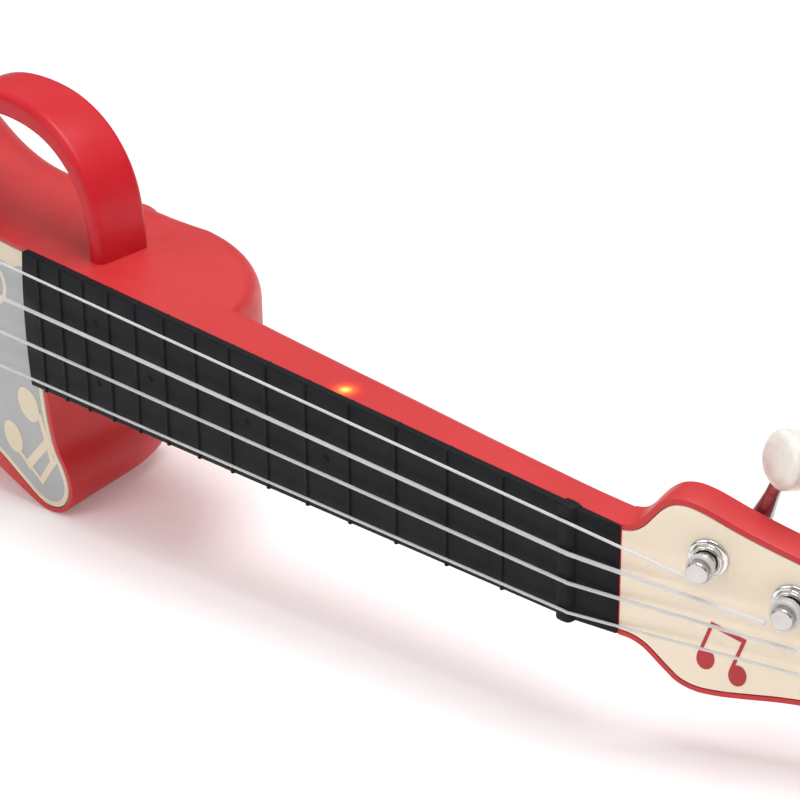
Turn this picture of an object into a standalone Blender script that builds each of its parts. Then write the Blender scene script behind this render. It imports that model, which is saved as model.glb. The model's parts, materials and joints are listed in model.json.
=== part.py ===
"""Four-string electronic toy instrument: red moulded housing with a carrying handle, patterned
front plate, black fretboard, cream headstock face and four in-line geared tuners.

Everything is drawn in the instrument's own frame, in millimetres: origin at the nut, +X toward
the headstock, +Y toward the back, +Z toward the handle (bass) side.  The last step stands the
instrument on its treble edge, handle up, with the base of its box at the origin, in metres.
"""
import bpy
import bmesh
import math
import numpy as np
from mathutils import Matrix, Vector

for old in list(bpy.data.objects):
    bpy.data.objects.remove(old, do_unlink=True)

# ---------------------------------------------------------------- driving dimensions (mm)
SCALE = 380.0            # nut to saddle, concert scale
FRETS = 14               # frets clear of the body end
BODY_DEPTH = 58.0        # front rim to flat back
WALL = 3.0               # housing wall
RIM = 1.5                # red rim round the front plate
PLATE_T = 3.0            # front plate thickness
NUT_HALF = 16.77         # half width of the neck at the nut
TAPER = 0.02828          # half width gained per mm toward the body
BOARD_T = 2.5            # fretboard above the neck
BOARD_TAIL = -218.0      # body end of the fretboard
BOARD_HEAD = 16.7        # head end of the fretboard
FRET_H = 0.9             # fret height above the board
HEAD_TILT = math.radians(18.0)
HEAD_T = 12.0            # headstock thickness
FACE_T = 1.2             # cream face panel
HANDLE_Y = (7.5, 27.6)   # handle width, front to back
STRING_R = (0.42, 0.62, 0.52, 0.42)      # treble-ward from the bass side
STRING_Z_NUT = (13.4, 4.4, -4.4, -13.4)
STRING_Z_SADDLE = (21.5, 7.2, -7.2, -21.5)
NUT_STRING_Y = -4.55     # string centre height over the nut
SADDLE_STRING_Y = -6.4   # string centre height over the saddle
POSTS = ((23.7, 12.3), (46.3, 4.5), (68.9, -2.4), (91.5, -9.4))   # along / across the head
POST_LEAN = math.radians(19.0)           # stems lean toward the tip, square to the bass edge
POST_R = 3.0
WORM_OFFSET = 6.0        # post axis to worm axis, toward the tip
WORM_DEPTH = 16.0        # worm axis behind the headstock face
GEAR_TEETH = 14
KNOB_COS, KNOB_SIN = math.cos(math.radians(40.0)), math.sin(math.radians(40.0))
WRAP_N = -6.9            # where a string reaches its post, in front of the face
SPEAKER_X = -292.0
SPEAKER_R = 28.0
BUTTONS = (("button_power", -346.0, 50.0), ("button_volume_up", -364.0, 55.5),
           ("button_volume_down", -382.5, 57.5), ("button_mode", -401.0, 55.5))
BUTTON_R = 5.0
CELL_R = 7.1
CELL_L = 50.0
CELL_X = (-446.0, -430.0, -414.0)
CELL_Y = 45.5
DOOR = (-457.0, -403.0, -34.0, 34.0)     # battery opening in the back: x0, x1, z0, z1
EAR_Y = (54.7, 56.0)     # the door's screw ear, sunk in a pocket of the back
DOOR_SCREW_X = -397.0
NECK_SEAM = -190.65      # where the neck moulding meets the body moulding


# ---------------------------------------------------------------- small tools
def half_width(x):
    return NUT_HALF - TAPER * x


def fret_x(n):
    return -SCALE * (1.0 - 2.0 ** (-n / 12.0))


def material(name, rgb, rough=0.4, metal=0.0):
    mat = bpy.data.materials.get(name) or bpy.data.materials.new(name)
    mat.use_nodes = True
    shader = mat.node_tree.nodes["Principled BSDF"]
    shader.inputs["Base Color"].default_value = (*rgb, 1.0)
    shader.inputs["Roughness"].default_value = rough
    shader.inputs["Metallic"].default_value = metal
    return mat


def new_object(name, verts, faces):
    mesh = bpy.data.meshes.new(name)
    mesh.from_pydata([[c * 0.001 for c in v] for v in verts], [], faces)
    bm = bmesh.new()
    bm.from_mesh(mesh)
    bmesh.ops.remove_doubles(bm, verts=bm.verts, dist=1e-7)
    bmesh.ops.recalc_face_normals(bm, faces=bm.faces)
    bm.to_mesh(mesh)
    bm.free()
    obj = bpy.data.objects.new(name, mesh)
    bpy.context.scene.collection.objects.link(obj)
    return obj


def loft(name, rings):
    """One closed solid through equal-length rings of points."""
    n = len(rings[0])
    verts = [p for ring in rings for p in ring]
    faces = []
    for k in range(len(rings) - 1):
        a, b = k * n, (k + 1) * n
        for i in range(n):
            j = (i + 1) % n
            faces.append((a + i, a + j, b + j, b + i))
    faces.append(tuple(range(n)))
    faces.append(tuple(range((len(rings) - 1) * n, len(rings) * n))[::-1])
    return new_object(name, verts, faces)


def prism(name, outline, y0, y1, bevel=0.0, inner=None):
    """Outline of (x, z) points pushed along Y; `inner` is the outline of a bevelled front."""
    rings = [[(x, y0, z) for x, z in (inner if inner is not None else outline)]]
    if inner is not None:
        rings.append([(x, y0 + bevel, z) for x, z in outline])
    rings.append([(x, y1, z) for x, z in outline])
    return loft(name, rings)


def box(name, x0, x1, y0, y1, z0, z1):
    return loft(name, [[(x0, y0, z0), (x1, y0, z0), (x1, y0, z1), (x0, y0, z1)],
                       [(x0, y1, z0), (x1, y1, z0), (x1, y1, z1), (x0, y1, z1)]])


def lathe(name, profile, centre, axis=(0, 1, 0), side=(1, 0, 0), steps=24, hollow=False):
    """Turn (radius, height) pairs about an axis; a profile that closes itself gives a ring."""
    axis, side = Vector(axis).normalized(), Vector(side).normalized()
    other = axis.cross(side)
    centre = Vector(centre)
    verts, faces = [], []
    for r, h in profile:
        for i in range(steps):
            a = 2.0 * math.pi * i / steps
            p = centre + axis * h + side * (r * math.cos(a)) + other * (r * math.sin(a))
            verts.append(tuple(p))
    rows = len(profile)
    for k in range(rows if hollow else rows - 1):
        a, b = k * steps, ((k + 1) % rows) * steps
        for i in range(steps):
            j = (i + 1) % steps
            faces.append((a + i, a + j, b + j, b + i))
    if not hollow:
        faces.append(tuple(range(steps)))
        faces.append(tuple(range((rows - 1) * steps, rows * steps))[::-1])
    return new_object(name, verts, faces)


def tube(name, points, radii, sides=8, up=(0, 1, 0)):
    """Round bar along a path, its radius given point by point."""
    pts = [Vector(p) for p in points]
    rings = []
    normal = Vector(up)
    for i, p in enumerate(pts):
        t = (pts[min(i + 1, len(pts) - 1)] - pts[max(i - 1, 0)]).normalized()
        normal = (normal - t * normal.dot(t)).normalized()
        other = t.cross(normal)
        r = radii[i] if isinstance(radii, (list, tuple)) else radii
        rings.append([tuple(p + normal * (r * math.cos(2 * math.pi * k / sides))
                            + other * (r * math.sin(2 * math.pi * k / sides)))
                      for k in range(sides)])
    return loft(name, rings)


def combine(target, others, operation):
    """Exact boolean, kept as plain mesh."""
    for other in others if isinstance(others, (list, tuple)) else [others]:
        mod = target.modifiers.new("cut", "BOOLEAN")
        mod.operation = operation
        mod.solver = "EXACT"
        mod.object = other
        bpy.context.view_layer.update()
        graph = bpy.context.evaluated_depsgraph_get()
        mesh = bpy.data.meshes.new_from_object(target.evaluated_get(graph))
        target.modifiers.clear()
        old = target.data
        target.data = mesh
        bpy.data.meshes.remove(old)
        bpy.data.objects.remove(other, do_unlink=True)
    return target


def copy_of(obj, name):
    dup = bpy.data.objects.new(name, obj.data.copy())
    bpy.context.scene.collection.objects.link(dup)
    return dup


def ear_shape(name, radius, x0, y0, y1):
    """Bar from x0 to the door screw, with a round end about it."""
    ring = [(DOOR_SCREW_X + radius * math.cos(a), radius * math.sin(a))
            for a in (math.pi * (k / 10 - 0.5) for k in range(11))]
    return prism(name, [(x0, -radius)] + ring + [(x0, radius)], y0, y1)


def spline(points, count, closed=True):
    """Centripetal Catmull-Rom through the points, resampled evenly along its length."""
    pts = [np.array(p, float) for p in points]
    n = len(pts)
    dense = []
    for i in range(n if closed else n - 1):
        if closed:
            p0, p1, p2, p3 = (pts[(i + k - 1) % n] for k in range(4))
        else:
            p0, p1 = pts[max(i - 1, 0)], pts[i]
            p2, p3 = pts[i + 1], pts[min(i + 2, n - 1)]
            if i == 0:
                p0 = 2 * p1 - p2
            if i == n - 2:
                p3 = 2 * p2 - p1
        t = [0.0]
        for a, b in ((p0, p1), (p1, p2), (p2, p3)):
            t.append(t[-1] + max(np.linalg.norm((b - a)[:2]), 1e-6) ** 0.5)
        for s in np.linspace(t[1], t[2], 12, endpoint=False):
            a1 = (t[1] - s) / (t[1] - t[0]) * p0 + (s - t[0]) / (t[1] - t[0]) * p1
            a2 = (t[2] - s) / (t[2] - t[1]) * p1 + (s - t[1]) / (t[2] - t[1]) * p2
            a3 = (t[3] - s) / (t[3] - t[2]) * p2 + (s - t[2]) / (t[3] - t[2]) * p3
            b1 = (t[2] - s) / (t[2] - t[0]) * a1 + (s - t[0]) / (t[2] - t[0]) * a2
            b2 = (t[3] - s) / (t[3] - t[1]) * a2 + (s - t[1]) / (t[3] - t[1]) * a3
            dense.append((t[2] - s) / (t[2] - t[1]) * b1 + (s - t[1]) / (t[2] - t[1]) * b2)
    dense.append(dense[0] if closed else pts[-1])
    dense = np.array(dense)
    run = np.concatenate([[0.0], np.cumsum(np.linalg.norm(np.diff(dense[:, :2], axis=0), axis=1))])
    marks = np.linspace(0.0, run[-1], count + 1)[:-1] if closed else np.linspace(0, run[-1], count)
    return np.stack([np.interp(marks, run, dense[:, k]) for k in range(dense.shape[1])], 1)


def inward(outline, blur):
    """Unit inward directions of a closed outline, smoothed so small horns keep one direction."""
    n = len(outline)
    k = np.arange(-blur, blur + 1)
    weight = np.exp(-0.5 * (k / max(blur / 2.0, 0.5)) ** 2)
    tangent = np.roll(outline, -1, 0) - np.roll(outline, 1, 0)
    smooth = sum(w * np.roll(tangent, int(-s), 0) for s, w in zip(k, weight))
    x, z = outline[:, 0], outline[:, 1]
    turn = np.sign(np.sum(x * np.roll(z, -1) - np.roll(x, -1) * z))
    normal = np.stack([-smooth[:, 1], smooth[:, 0]], 1) * turn
    return normal / np.linalg.norm(normal, axis=1)[:, None]


def head_point(t, z, n):
    """Point on the headstock: t along it, z across it, n behind its face."""
    return (BOARD_HEAD + 0.3 + t * math.cos(HEAD_TILT) - n * math.sin(HEAD_TILT),
            t * math.sin(HEAD_TILT) + n * math.cos(HEAD_TILT), z)


HEAD_N = Vector((-math.sin(HEAD_TILT), math.cos(HEAD_TILT), 0.0))
HEAD_U = Vector((math.cos(HEAD_TILT) * math.cos(POST_LEAN), math.sin(HEAD_TILT) * math.cos(POST_LEAN),
                 -math.sin(POST_LEAN)))
HEAD_V = Vector((math.cos(HEAD_TILT) * math.sin(POST_LEAN), math.sin(HEAD_TILT) * math.sin(POST_LEAN),
                 math.cos(POST_LEAN)))


def tuner_point(i, u, v, n):
    """Point near tuner i: u along the row of posts, v toward its knob, n behind the face."""
    t, z = POSTS[i]
    return tuple(Vector(head_point(t, z, n)) + HEAD_U * u + HEAD_V * v)


# ---------------------------------------------------------------- materials
RED = material("red_plastic", (0.60, 0.035, 0.045), 0.35)
HANDLE_RED = material("handle_red", (0.56, 0.02, 0.03), 0.35)
BLACK = material("fretboard_black", (0.018, 0.020, 0.024), 0.45)
PLATE = material("plate_grey", (0.50, 0.51, 0.52), 0.4)
CREAM = material("headstock_cream", (0.86, 0.73, 0.56), 0.45)
BRIDGE_BLACK = material("bridge_black", (0.02, 0.02, 0.022), 0.45)
SADDLE_WHITE = material("saddle_white", (0.85, 0.83, 0.78), 0.35)
STRING_WHITE = material("string_clear", (0.80, 0.81, 0.84), 0.3)
CHROME = material("tuner_chrome", (0.78, 0.78, 0.78), 0.12, 1.0)
STEEL = material("tuner_steel", (0.55, 0.55, 0.56), 0.3, 1.0)
KNOB_WHITE = material("knob_pearl", (0.76, 0.70, 0.64), 0.3)
BUTTON_CREAM = material("button_cream", (0.80, 0.66, 0.47), 0.4)
CELL = material("cell_jacket", (0.20, 0.32, 0.22), 0.35)
SPRING = material("contact_nickel", (0.6, 0.6, 0.58), 0.3, 1.0)
SPEAKER = material("speaker_steel", (0.30, 0.30, 0.31), 0.4, 1.0)
PAPER = material("speaker_paper", (0.04, 0.04, 0.04), 0.8)
BOARD = material("circuit_green", (0.03, 0.20, 0.09), 0.5)
BRASS = material("piezo_brass", (0.65, 0.48, 0.18), 0.3, 1.0)
SCREW = material("screw_steel", (0.5, 0.5, 0.5), 0.3, 1.0)
TRAY = material("tray_black", (0.03, 0.03, 0.03), 0.5)

final = []                # (object, material, joint origin in the instrument frame or None)


def keep(obj, mat, origin=None):
    obj.data.materials.clear()
    obj.data.materials.append(mat)
    final.append((obj, origin))
    return obj


# ---------------------------------------------------------------- body outline
# x, z on the front rim, how far the side runs straight back, and the inset at the flat back
OUTLINE = (
    (-217.0, 21.5, 42, 13), (-226.0, 23.1, 41, 15), (-240.0, 23.5, 40, 15), (-252.0, 24.0, 39, 15),
    (-262.0, 25.2, 37, 16), (-271.0, 28.0, 33, 18), (-281.0, 34.0, 27, 21), (-293.0, 44.0, 22, 24),
    (-309.0, 57.0, 20, 25), (-330.0, 69.5, 22, 25), (-356.0, 78.5, 25, 25), (-385.0, 82.0, 28, 24),
    (-415.0, 79.0, 30, 24), (-443.0, 67.5, 30, 24), (-464.0, 47.5, 30, 24), (-476.5, 24.0, 30, 24),
    (-480.5, 0.0, 30, 24), (-476.5, -24.0, 30, 24), (-464.0, -47.5, 30, 24),
    (-443.0, -67.5, 32, 24), (-415.0, -79.0, 36, 24), (-385.0, -82.0, 38, 24),
    (-356.0, -78.5, 36, 24), (-330.0, -69.5, 32, 22), (-309.0, -59.5, 30, 20),
    (-290.0, -51.6, 28, 18), (-272.0, -50.4, 30, 16), (-256.8, -54.6, 34, 15),
    (-243.3, -60.3, 38, 14), (-229.0, -65.6, 42, 13), (-219.2, -68.5, 44, 12),
    (-213.5, -68.0, 42, 13), (-208.6, -65.6, 30, 15), (-205.3, -60.8, 16, 17),
    (-204.6, -55.8, 8, 18), (-206.4, -50.2, 4, 18), (-210.0, -44.2, 4, 14),
    (-212.2, -36.0, 6, 11), (-213.5, -25.0, 10, 9), (-213.8, -14.0, 30, 4),
    (-213.8, 0.0, 38, 4), (-213.8, 12.0, 42, 8))
COUNT = 104
outline = spline(OUTLINE, COUNT)
front = outline[:, :2]
straight, inset = outline[:, 2], outline[:, 3]
toward_inside = inward(front, 6)
# the horn also narrows steadily toward the back, most of all at its tip
draft = 0.115 * np.exp(-((front[:, 0] + 214.0) ** 2 + (front[:, 1] + 65.0) ** 2) / 15.0 ** 2)
# the red rim is widest along the treble side of the waist
wider = 4.2 * np.exp(-((front[:, 0] + 246.0) / 20.0) ** 2) * (front[:, 1] < 0.0)


def body_ring(y, shrink):
    """The body's section at depth y, drawn in by `shrink`."""
    depth = np.clip((y - straight) / (BODY_DEPTH - straight), 0.0, 1.0)
    draw = inset * (1.0 - np.sqrt(np.clip(1.0 - depth ** 2, 0.0, 1.0))) + draft * y + shrink
    pts = front + toward_inside * draw[:, None]
    return [(float(x), float(y), float(z)) for x, z in pts]


def plate_outline(shrink):
    pts = front + inward(front, 2) * (shrink + wider)[:, None]
    return [(float(x), float(z)) for x, z in pts]


body = loft("rear_housing", [body_ring(y, 0.0) for y in
                             (0, 12, 22, 31, 38, 44, 48.5, 52, 54.6, 56.5, 57.6, BODY_DEPTH)])


# ---------------------------------------------------------------- neck and heel
def neck_ring(x, w, side, corner_z, corner_y, crown, y0=0.0):
    half = [(y0, w)]
    for k in range(5):
        a = math.pi / 2 * k / 4
        half.append((side + corner_y * math.sin(a), w - corner_z * (1.0 - math.cos(a))))
    centre = [(side + corner_y + crown, 0.0)]
    other = [(y, -z) for y, z in reversed(half)]
    return [(x, y, z) for y, z in half + centre + other]


HEEL_X, HEEL_LONG, HEEL_DEEP, HEEL_BACK = -190.6, 48.0, 38.3, 54.1


def heel_end(angle, wall=0.0):
    """(x, depth) on the heel's rounded end: 0 at its flat back, 90 degrees toward the neck."""
    return (HEEL_X + (HEEL_LONG - wall) * math.sin(angle) ** 1.1,
            HEEL_BACK - HEEL_DEEP + (HEEL_DEEP - wall) * math.cos(angle) ** 1.2)


stations = []
for x, dip, side, corner_z, corner_y in (
        (-262, 4.0, 33.0, 14.0, 16.0), (-250, 2.6, 36.0, 14.0, 16.0), (-238, 1.4, 38.5, 14.0, 16.0),
        (-228, 0.5, 40.5, 14.0, 15.6), (-220, 0.0, 41.4, 13.4, 14.9), (-212, -0.1, 42.1, 12.6, 13.5),
        (-205, -0.1, 42.8, 11.5, 12.0), (-197, -0.1, 44.2, 10.0, 10.0), (HEEL_X, -0.1, 45.4, 8.7, 8.7)):
    stations.append((x, half_width(x) - dip, side, corner_z, corner_y, 0.0))
for k in range(1, 9):
    x, depth = heel_end(math.radians(78.0 * k / 8))
    stations.append((x, half_width(x), depth - 8.7, 8.7, 8.7, 0.0))
for x, side, corner_z, corner_y, crown in (
        (-143.2, 12.9, 8.0, 8.0, 1.5), (-110, 11.3, 8.0, 8.0, 1.5), (-75, 9.9, 8.0, 8.0, 1.5),
        (-40, 8.3, 8.0, 8.0, 1.5), (-15, 7.9, 7.5, 7.0, 1.2), (0, 8.0, 6.0, 5.5, 0.8),
        (8, 8.4, 4.4, 4.2, 0.4), (13.3, 8.9, 3.0, 3.0, 0.2), (17.3, 9.4, 2.4, 2.6, 0.0)):
    stations.append((x, half_width(x), side, corner_z, corner_y, crown))
neck = loft("neck", [neck_ring(*s) for s in stations])

# ---------------------------------------------------------------- headstock
HEAD_OUTLINE = (
    (0.0, 16.6), (2.6, 17.0), (4.9, 18.6), (7.1, 21.4), (9.6, 24.4), (12.6, 26.6), (16.6, 27.4),
    (21.3, 26.6),
    (30.8, 23.1), (39.9, 20.1), (48.2, 17.7), (60.0, 14.3), (75.0, 9.8), (88.0, 5.8), (97.0, 2.0),
    (103.5, -3.4), (106.4, -10.4), (104.4, -17.6), (98.0, -22.2), (88.0, -23.4), (75.0, -23.7),
    (60.0, -24.4), (45.1, -25.7), (35.8, -27.2), (28.0, -28.3), (21.6, -28.4), (16.6, -26.9),
    (13.2, -24.3), (9.8, -21.3), (6.8, -18.8), (3.4, -17.2), (0.0, -16.7))
head_edge = spline(HEAD_OUTLINE, 72, closed=False)
head_in = inward(head_edge, 1)
for k, a, b in ((0, 0, 1), (1, 0, 2), (-2, -3, -1), (-1, -2, -1)):
    way = head_edge[b] - head_edge[a]
    head_in[k] = np.array((way[1], -way[0])) / math.hypot(*way)


def head_ring(n, shrink, start=0.0):
    pts = head_edge + head_in * shrink
    pts[:, 0] = np.maximum(pts[:, 0], start)
    return [head_point(float(t), float(z), n) for t, z in pts]


head = loft("head", [head_ring(0.0, 0.5), head_ring(0.5, 0.0), head_ring(HEAD_T - 2.0, 0.0),
                     head_ring(HEAD_T - 0.6, 0.6), head_ring(HEAD_T, 2.0)])
combine(body, [neck, head], "UNION")
handle_cutter = copy_of(body, "handle_cutter")

# hollow: body cavity, heel void, light channel down the neck, plate seat, face seat
cavity = loft("cavity", [body_ring(y, 3.6 + wider) for y in (-5, 8)] + [body_ring(20, 3.6)]
              + [body_ring(y, WALL) for y in (31, 40, 47, 51.5, BODY_DEPTH - WALL)])
heel_rings = []
for x, back in ((-262, 53.5), (-225, 53.0), (-205, 51.5), (HEEL_X, HEEL_BACK - WALL)):
    heel_rings.append((x, half_width(x) - WALL, back - 9.0, 9.0, 9.0, 0.0, 4.0))
for k in range(1, 7):
    x, depth = heel_end(math.radians(72.0 * k / 6), WALL)
    heel_rings.append((x, half_width(x) - WALL, depth - 7.0, 7.0, 7.0, 0.0, 4.0))
heel_void = loft("heel_void", [neck_ring(*r) for r in heel_rings])
channel = loft("channel", [[(x, -2.0, -9.0), (x, -2.0, 9.0), (x, 9.0, 9.0), (x, 9.0, -9.0)]
                           for x in (-190.0, -4.0)])
seat = prism("seat", plate_outline(RIM), -5.0, PLATE_T + 0.1)
face_seat = loft("face_seat", [head_ring(-4.0, 1.6, -0.1), head_ring(FACE_T + 0.2, 1.6, -0.1)])
combine(body, [cavity, heel_void, channel, seat, face_seat], "DIFFERENCE")

# battery opening with a stepped ledge, end pin hole, tuner holes, screw holes
door_open = box("door_open", DOOR[0], DOOR[1], 50.0, 62.0, DOOR[2], DOOR[3])
combine(body, door_open, "DIFFERENCE")
for i in range(4):
    combine(body, lathe("hole", [(3.9, -2.0), (3.9, HEAD_T + 3.0)], tuner_point(i, 0, 0, 0),
                        HEAD_N, HEAD_U, 20), "DIFFERENCE")
combine(body, lathe("pin_hole", [(3.2, -12.0), (3.2, 12.0)], (-479.0, 26.0, 0.0), (1, 0, 0),
                    (0, 1, 0), 20), "DIFFERENCE")
screw_boss = lathe("boss", [(6.5, 0.0), (6.5, 14.5)], (DOOR_SCREW_X, 41.5, 0.0), (0, 1, 0), (1, 0, 0), 20)
combine(body, screw_boss, "UNION")
combine(body, ear_shape("ear_pocket", 5.5, DOOR[1] - 1.0, EAR_Y[0] - 0.3, 62.0), "DIFFERENCE")
combine(body, lathe("boss_hole", [(1.7, 0.0), (1.7, 30.0)], (DOOR_SCREW_X, 45.5, 0.0), (0, 1, 0),
                    (1, 0, 0), 16), "DIFFERENCE")

# the neck is a moulding of its own, joined to the body inside the heel
neck_half = copy_of(body, "neck_housing")
combine(neck_half, box("body_side", -520.0, NECK_SEAM + 0.15, -40.0, 90.0, -100.0, 100.0),
        "DIFFERENCE")
combine(body, box("neck_side", NECK_SEAM - 0.15, 160.0, -40.0, 90.0, -100.0, 100.0), "DIFFERENCE")
keep(body, RED)
keep(neck_half, RED)

# ---------------------------------------------------------------- carrying handle
HANDLE_PATH = ((-195.6, 17.0, 6.2), (-195.9, 26.0, 6.2), (-196.6, 33.5, 6.2), (-198.3, 41.0, 6.5),
               (-201.8, 48.0, 7.0), (-207.3, 54.2, 7.4), (-214.0, 58.8, 7.7), (-223.0, 62.0, 8.0),
               (-235.0, 63.2, 8.0), (-247.0, 62.0, 8.0), (-256.0, 58.8, 7.7),
               (-263.0, 53.8, 7.4), (-268.6, 47.0, 7.0), (-272.6, 39.5, 6.6),
               (-275.0, 31.0, 6.6), (-276.0, 22.0, 6.6))
path = spline(HANDLE_PATH, 30, closed=False)
tangents = np.gradient(path[:, :2], axis=0)
rings = []
for (x, z, thick), (tx, tz) in zip(path, tangents):
    length = math.hypot(tx, tz)
    nx, nz = -tz / length, tx / length
    ring = []
    for y_side, r_side, start in ((1, 1, 0), (1, -1, 90), (-1, -1, 180), (-1, 1, 270)):
        mid_y, half_y, half_r, round_r = sum(HANDLE_Y) / 2, (HANDLE_Y[1] - HANDLE_Y[0]) / 2, \
            thick / 2, 2.4
        for a in (0, 30, 60, 90):
            ang = math.radians(start + a)
            cy = mid_y + y_side * (half_y - round_r)
            cr = r_side * (half_r - round_r)
            dy, dr = round_r * math.sin(ang), round_r * math.cos(ang)
            ring.append((x + nx * (cr + dr), cy + dy, z + nz * (cr + dr)))
    rings.append(ring)
handle = loft("handle", rings)
combine(handle, handle_cutter, "DIFFERENCE")
handle.data.transform(Matrix.Translation((0.0, 0.0, 0.0001)))
keep(handle, HANDLE_RED)

# ---------------------------------------------------------------- front plate
plate = prism("front_plate", plate_outline(RIM + 0.2), 0.0, PLATE_T)
notch = prism("notch", [(BOARD_TAIL - 0.4, half_width(BOARD_TAIL) + 0.4),
                        (BOARD_TAIL - 1.5, 8.0), (BOARD_TAIL - 1.5, -8.0),
                        (BOARD_TAIL - 0.4, -half_width(BOARD_TAIL) - 0.4),
                        (-190.0, -half_width(BOARD_TAIL) - 0.2),
                        (-190.0, half_width(BOARD_TAIL) + 0.4)], -2.0, PLATE_T + 1.0)
combine(plate, notch, "DIFFERENCE")
for k in range(10):
    a = 2 * math.pi * k / 10
    slot = []
    for radius, way in ((12.0, 1), (20.0, -1)):
        for s in range(5):
            b = a + way * math.radians(-10 + 5 * s)
            slot.append((SPEAKER_X + radius * math.cos(b), radius * math.sin(b)))
    combine(plate, prism("slot", slot, -1.0, PLATE_T + 1.0), "DIFFERENCE")
for _, bx, bz in BUTTONS:
    combine(plate, lathe("hole", [(BUTTON_R + 0.35, -1.0), (BUTTON_R + 0.35, PLATE_T + 1.0)],
                         (bx, 0.0, bz), steps=24), "DIFFERENCE")
keep(plate, PLATE)


# ---------------------------------------------------------------- fretboard with frets and nut
def board_ring(x, lift, widen, bulge=0.0):
    w = half_width(x) + widen
    top = -BOARD_T - lift
    edge = min(0.6, -top - 0.25)
    # the middle of the end sections bows outward along X by `bulge`
    pts = [(-0.1, w, 0.0), (top + edge, w, 0.0), (top, w - edge, 0.0), (top, 0.45 * w, 0.8),
           (top, 0.0, 1.0), (top, -0.45 * w, 0.8), (top, edge - w, 0.0), (top + edge, -w, 0.0),
           (-0.1, -w, 0.0), (-0.1, -0.45 * w, 0.8), (-0.1, 0.0, 1.0), (-0.1, 0.45 * w, 0.8)]
    return [(x + bulge * m, y, z) for y, z, m in pts]


board = [board_ring(BOARD_TAIL, 0.0, 0.0, -1.2)]
for n in range(FRETS, 0, -1):
    x = fret_x(n)
    board += [board_ring(x - 0.95, 0.0, 0.0), board_ring(x - 0.5, FRET_H * 0.85, 0.12),
              board_ring(x, FRET_H, 0.12), board_ring(x + 0.5, FRET_H * 0.85, 0.12),
              board_ring(x + 0.95, 0.0, 0.0)]
board += [board_ring(-1.6, 0.0, 0.0), board_ring(-1.2, 1.15, 0.5), board_ring(-0.4, 1.5, 0.8),
          board_ring(2.6, 1.5, 0.8), board_ring(3.6, 1.1, 0.5), board_ring(4.2, -0.1, 0.0),
          board_ring(BOARD_HEAD + 0.1, -1.85, -0.1, 0.0)]
keep(loft("fretboard", board), BLACK)

# ---------------------------------------------------------------- headstock face
face = loft("headstock_face", [head_ring(0.15, 1.85, 0.2), head_ring(FACE_T, 1.85, 0.2)])
for i in range(4):
    combine(face, lathe("hole", [(3.9, -2.0), (3.9, 4.0)], tuner_point(i, 0, 0, 0), HEAD_N,
                        HEAD_U, 20), "DIFFERENCE")
keep(face, CREAM)

# ---------------------------------------------------------------- bridge and saddle
BRIDGE_EDGE = ((-392.5, 28), (-391.6, 31.4), (-389.2, 33.6), (-386, 34.4), (-378, 34.4),
               (-374.8, 33.6), (-372.4, 31.4), (-371.5, 28))
bridge = prism("bridge", list(BRIDGE_EDGE) + [(x, -z) for x, z in reversed(BRIDGE_EDGE)],
               -3.0, -0.1)
combine(bridge, box("saddle_block", -384.0, -376.0, -4.9, -1.0, -29.0, 29.0), "UNION")
combine(bridge, box("tie_block", -391.6, -386.6, -5.0, -1.0, -26.0, 26.0), "UNION")
combine(bridge, box("saddle_slot", -381.4, -378.6, -6.0, -2.0, -26.4, 26.4), "DIFFERENCE")
for z, r in zip(STRING_Z_SADDLE, STRING_R):
    combine(bridge, box("tie_slot", -393.5, -381.0, -7.0, -1.3, z - r - 0.3, z + r + 0.3),
            "DIFFERENCE")
keep(bridge, BRIDGE_BLACK)
saddle_top = []
for z in np.linspace(-26.0, 26.0, 9):
    saddle_top.append([(-381.1, -2.2, z), (-381.1, -5.3, z), (-380.4, -5.75, z),
                       (-379.6, -5.75, z), (-378.9, -5.3, z), (-378.9, -2.2, z)])
keep(loft("saddle", saddle_top), SADDLE_WHITE)

# ---------------------------------------------------------------- strings and their windings
names = ("g", "c", "e", "a")
for i, name in enumerate(names):
    r = STRING_R[i]
    zn, zs = STRING_Z_NUT[i], STRING_Z_SADDLE[i]
    wrap = POST_R + 0.12 + r
    arrive = Vector(tuner_point(i, 0.0, 0.0, WRAP_N)) - HEAD_V * wrap
    nut_out = Vector((3.4, -4.1 - r - 0.08, zn))
    way = (arrive - nut_out).normalized()
    # the string ends just short of the windings, which turn with the post
    stop = arrive - way * math.sqrt((wrap + 2.0 * r + 0.12) ** 2 - wrap ** 2)
    pts = [(-395.2, -1.75, zs), (-394.6, -1.75, zs), (-393.6, -1.9, zs), (-393.0, -2.3, zs),
           (-392.2, -2.7 - r * 0.3, zs), (-386.5, -3.9 - r * 0.5, zs),
           (-381.6, SADDLE_STRING_Y + 0.5, zs), (-380.6, SADDLE_STRING_Y + 0.06, zs),
           (-379.4, SADDLE_STRING_Y + 0.02, zs),
           (-200.0, SADDLE_STRING_Y + (NUT_STRING_Y - SADDLE_STRING_Y) * 180 / 380.0,
            zs + (zn - zs) * 180 / 380.0),
           (-0.2, -4.12 - r, zn), (2.4, -4.1 - r, zn), tuple(nut_out), tuple(stop)]
    radii = [0.3, 1.1, 1.2, 0.8] + [r] * (len(pts) - 4)
    keep(tube("string_" + name, pts, radii, 6), STRING_WHITE)
    coil = []
    turns, pitch, per = 2.25, 2.0 * r + 0.12, 10
    for k in range(int(turns * per) + 1):
        a = -math.pi / 2 + 2 * math.pi * k / per
        n = WRAP_N + pitch * k / per
        coil.append(tuner_point(i, wrap * math.cos(a), wrap * math.sin(a), n))
    keep(tube("winding_%d" % (i + 1), coil, r, 5, up=HEAD_N), STRING_WHITE,
         tuner_point(i, 0, 0, 0))

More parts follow.
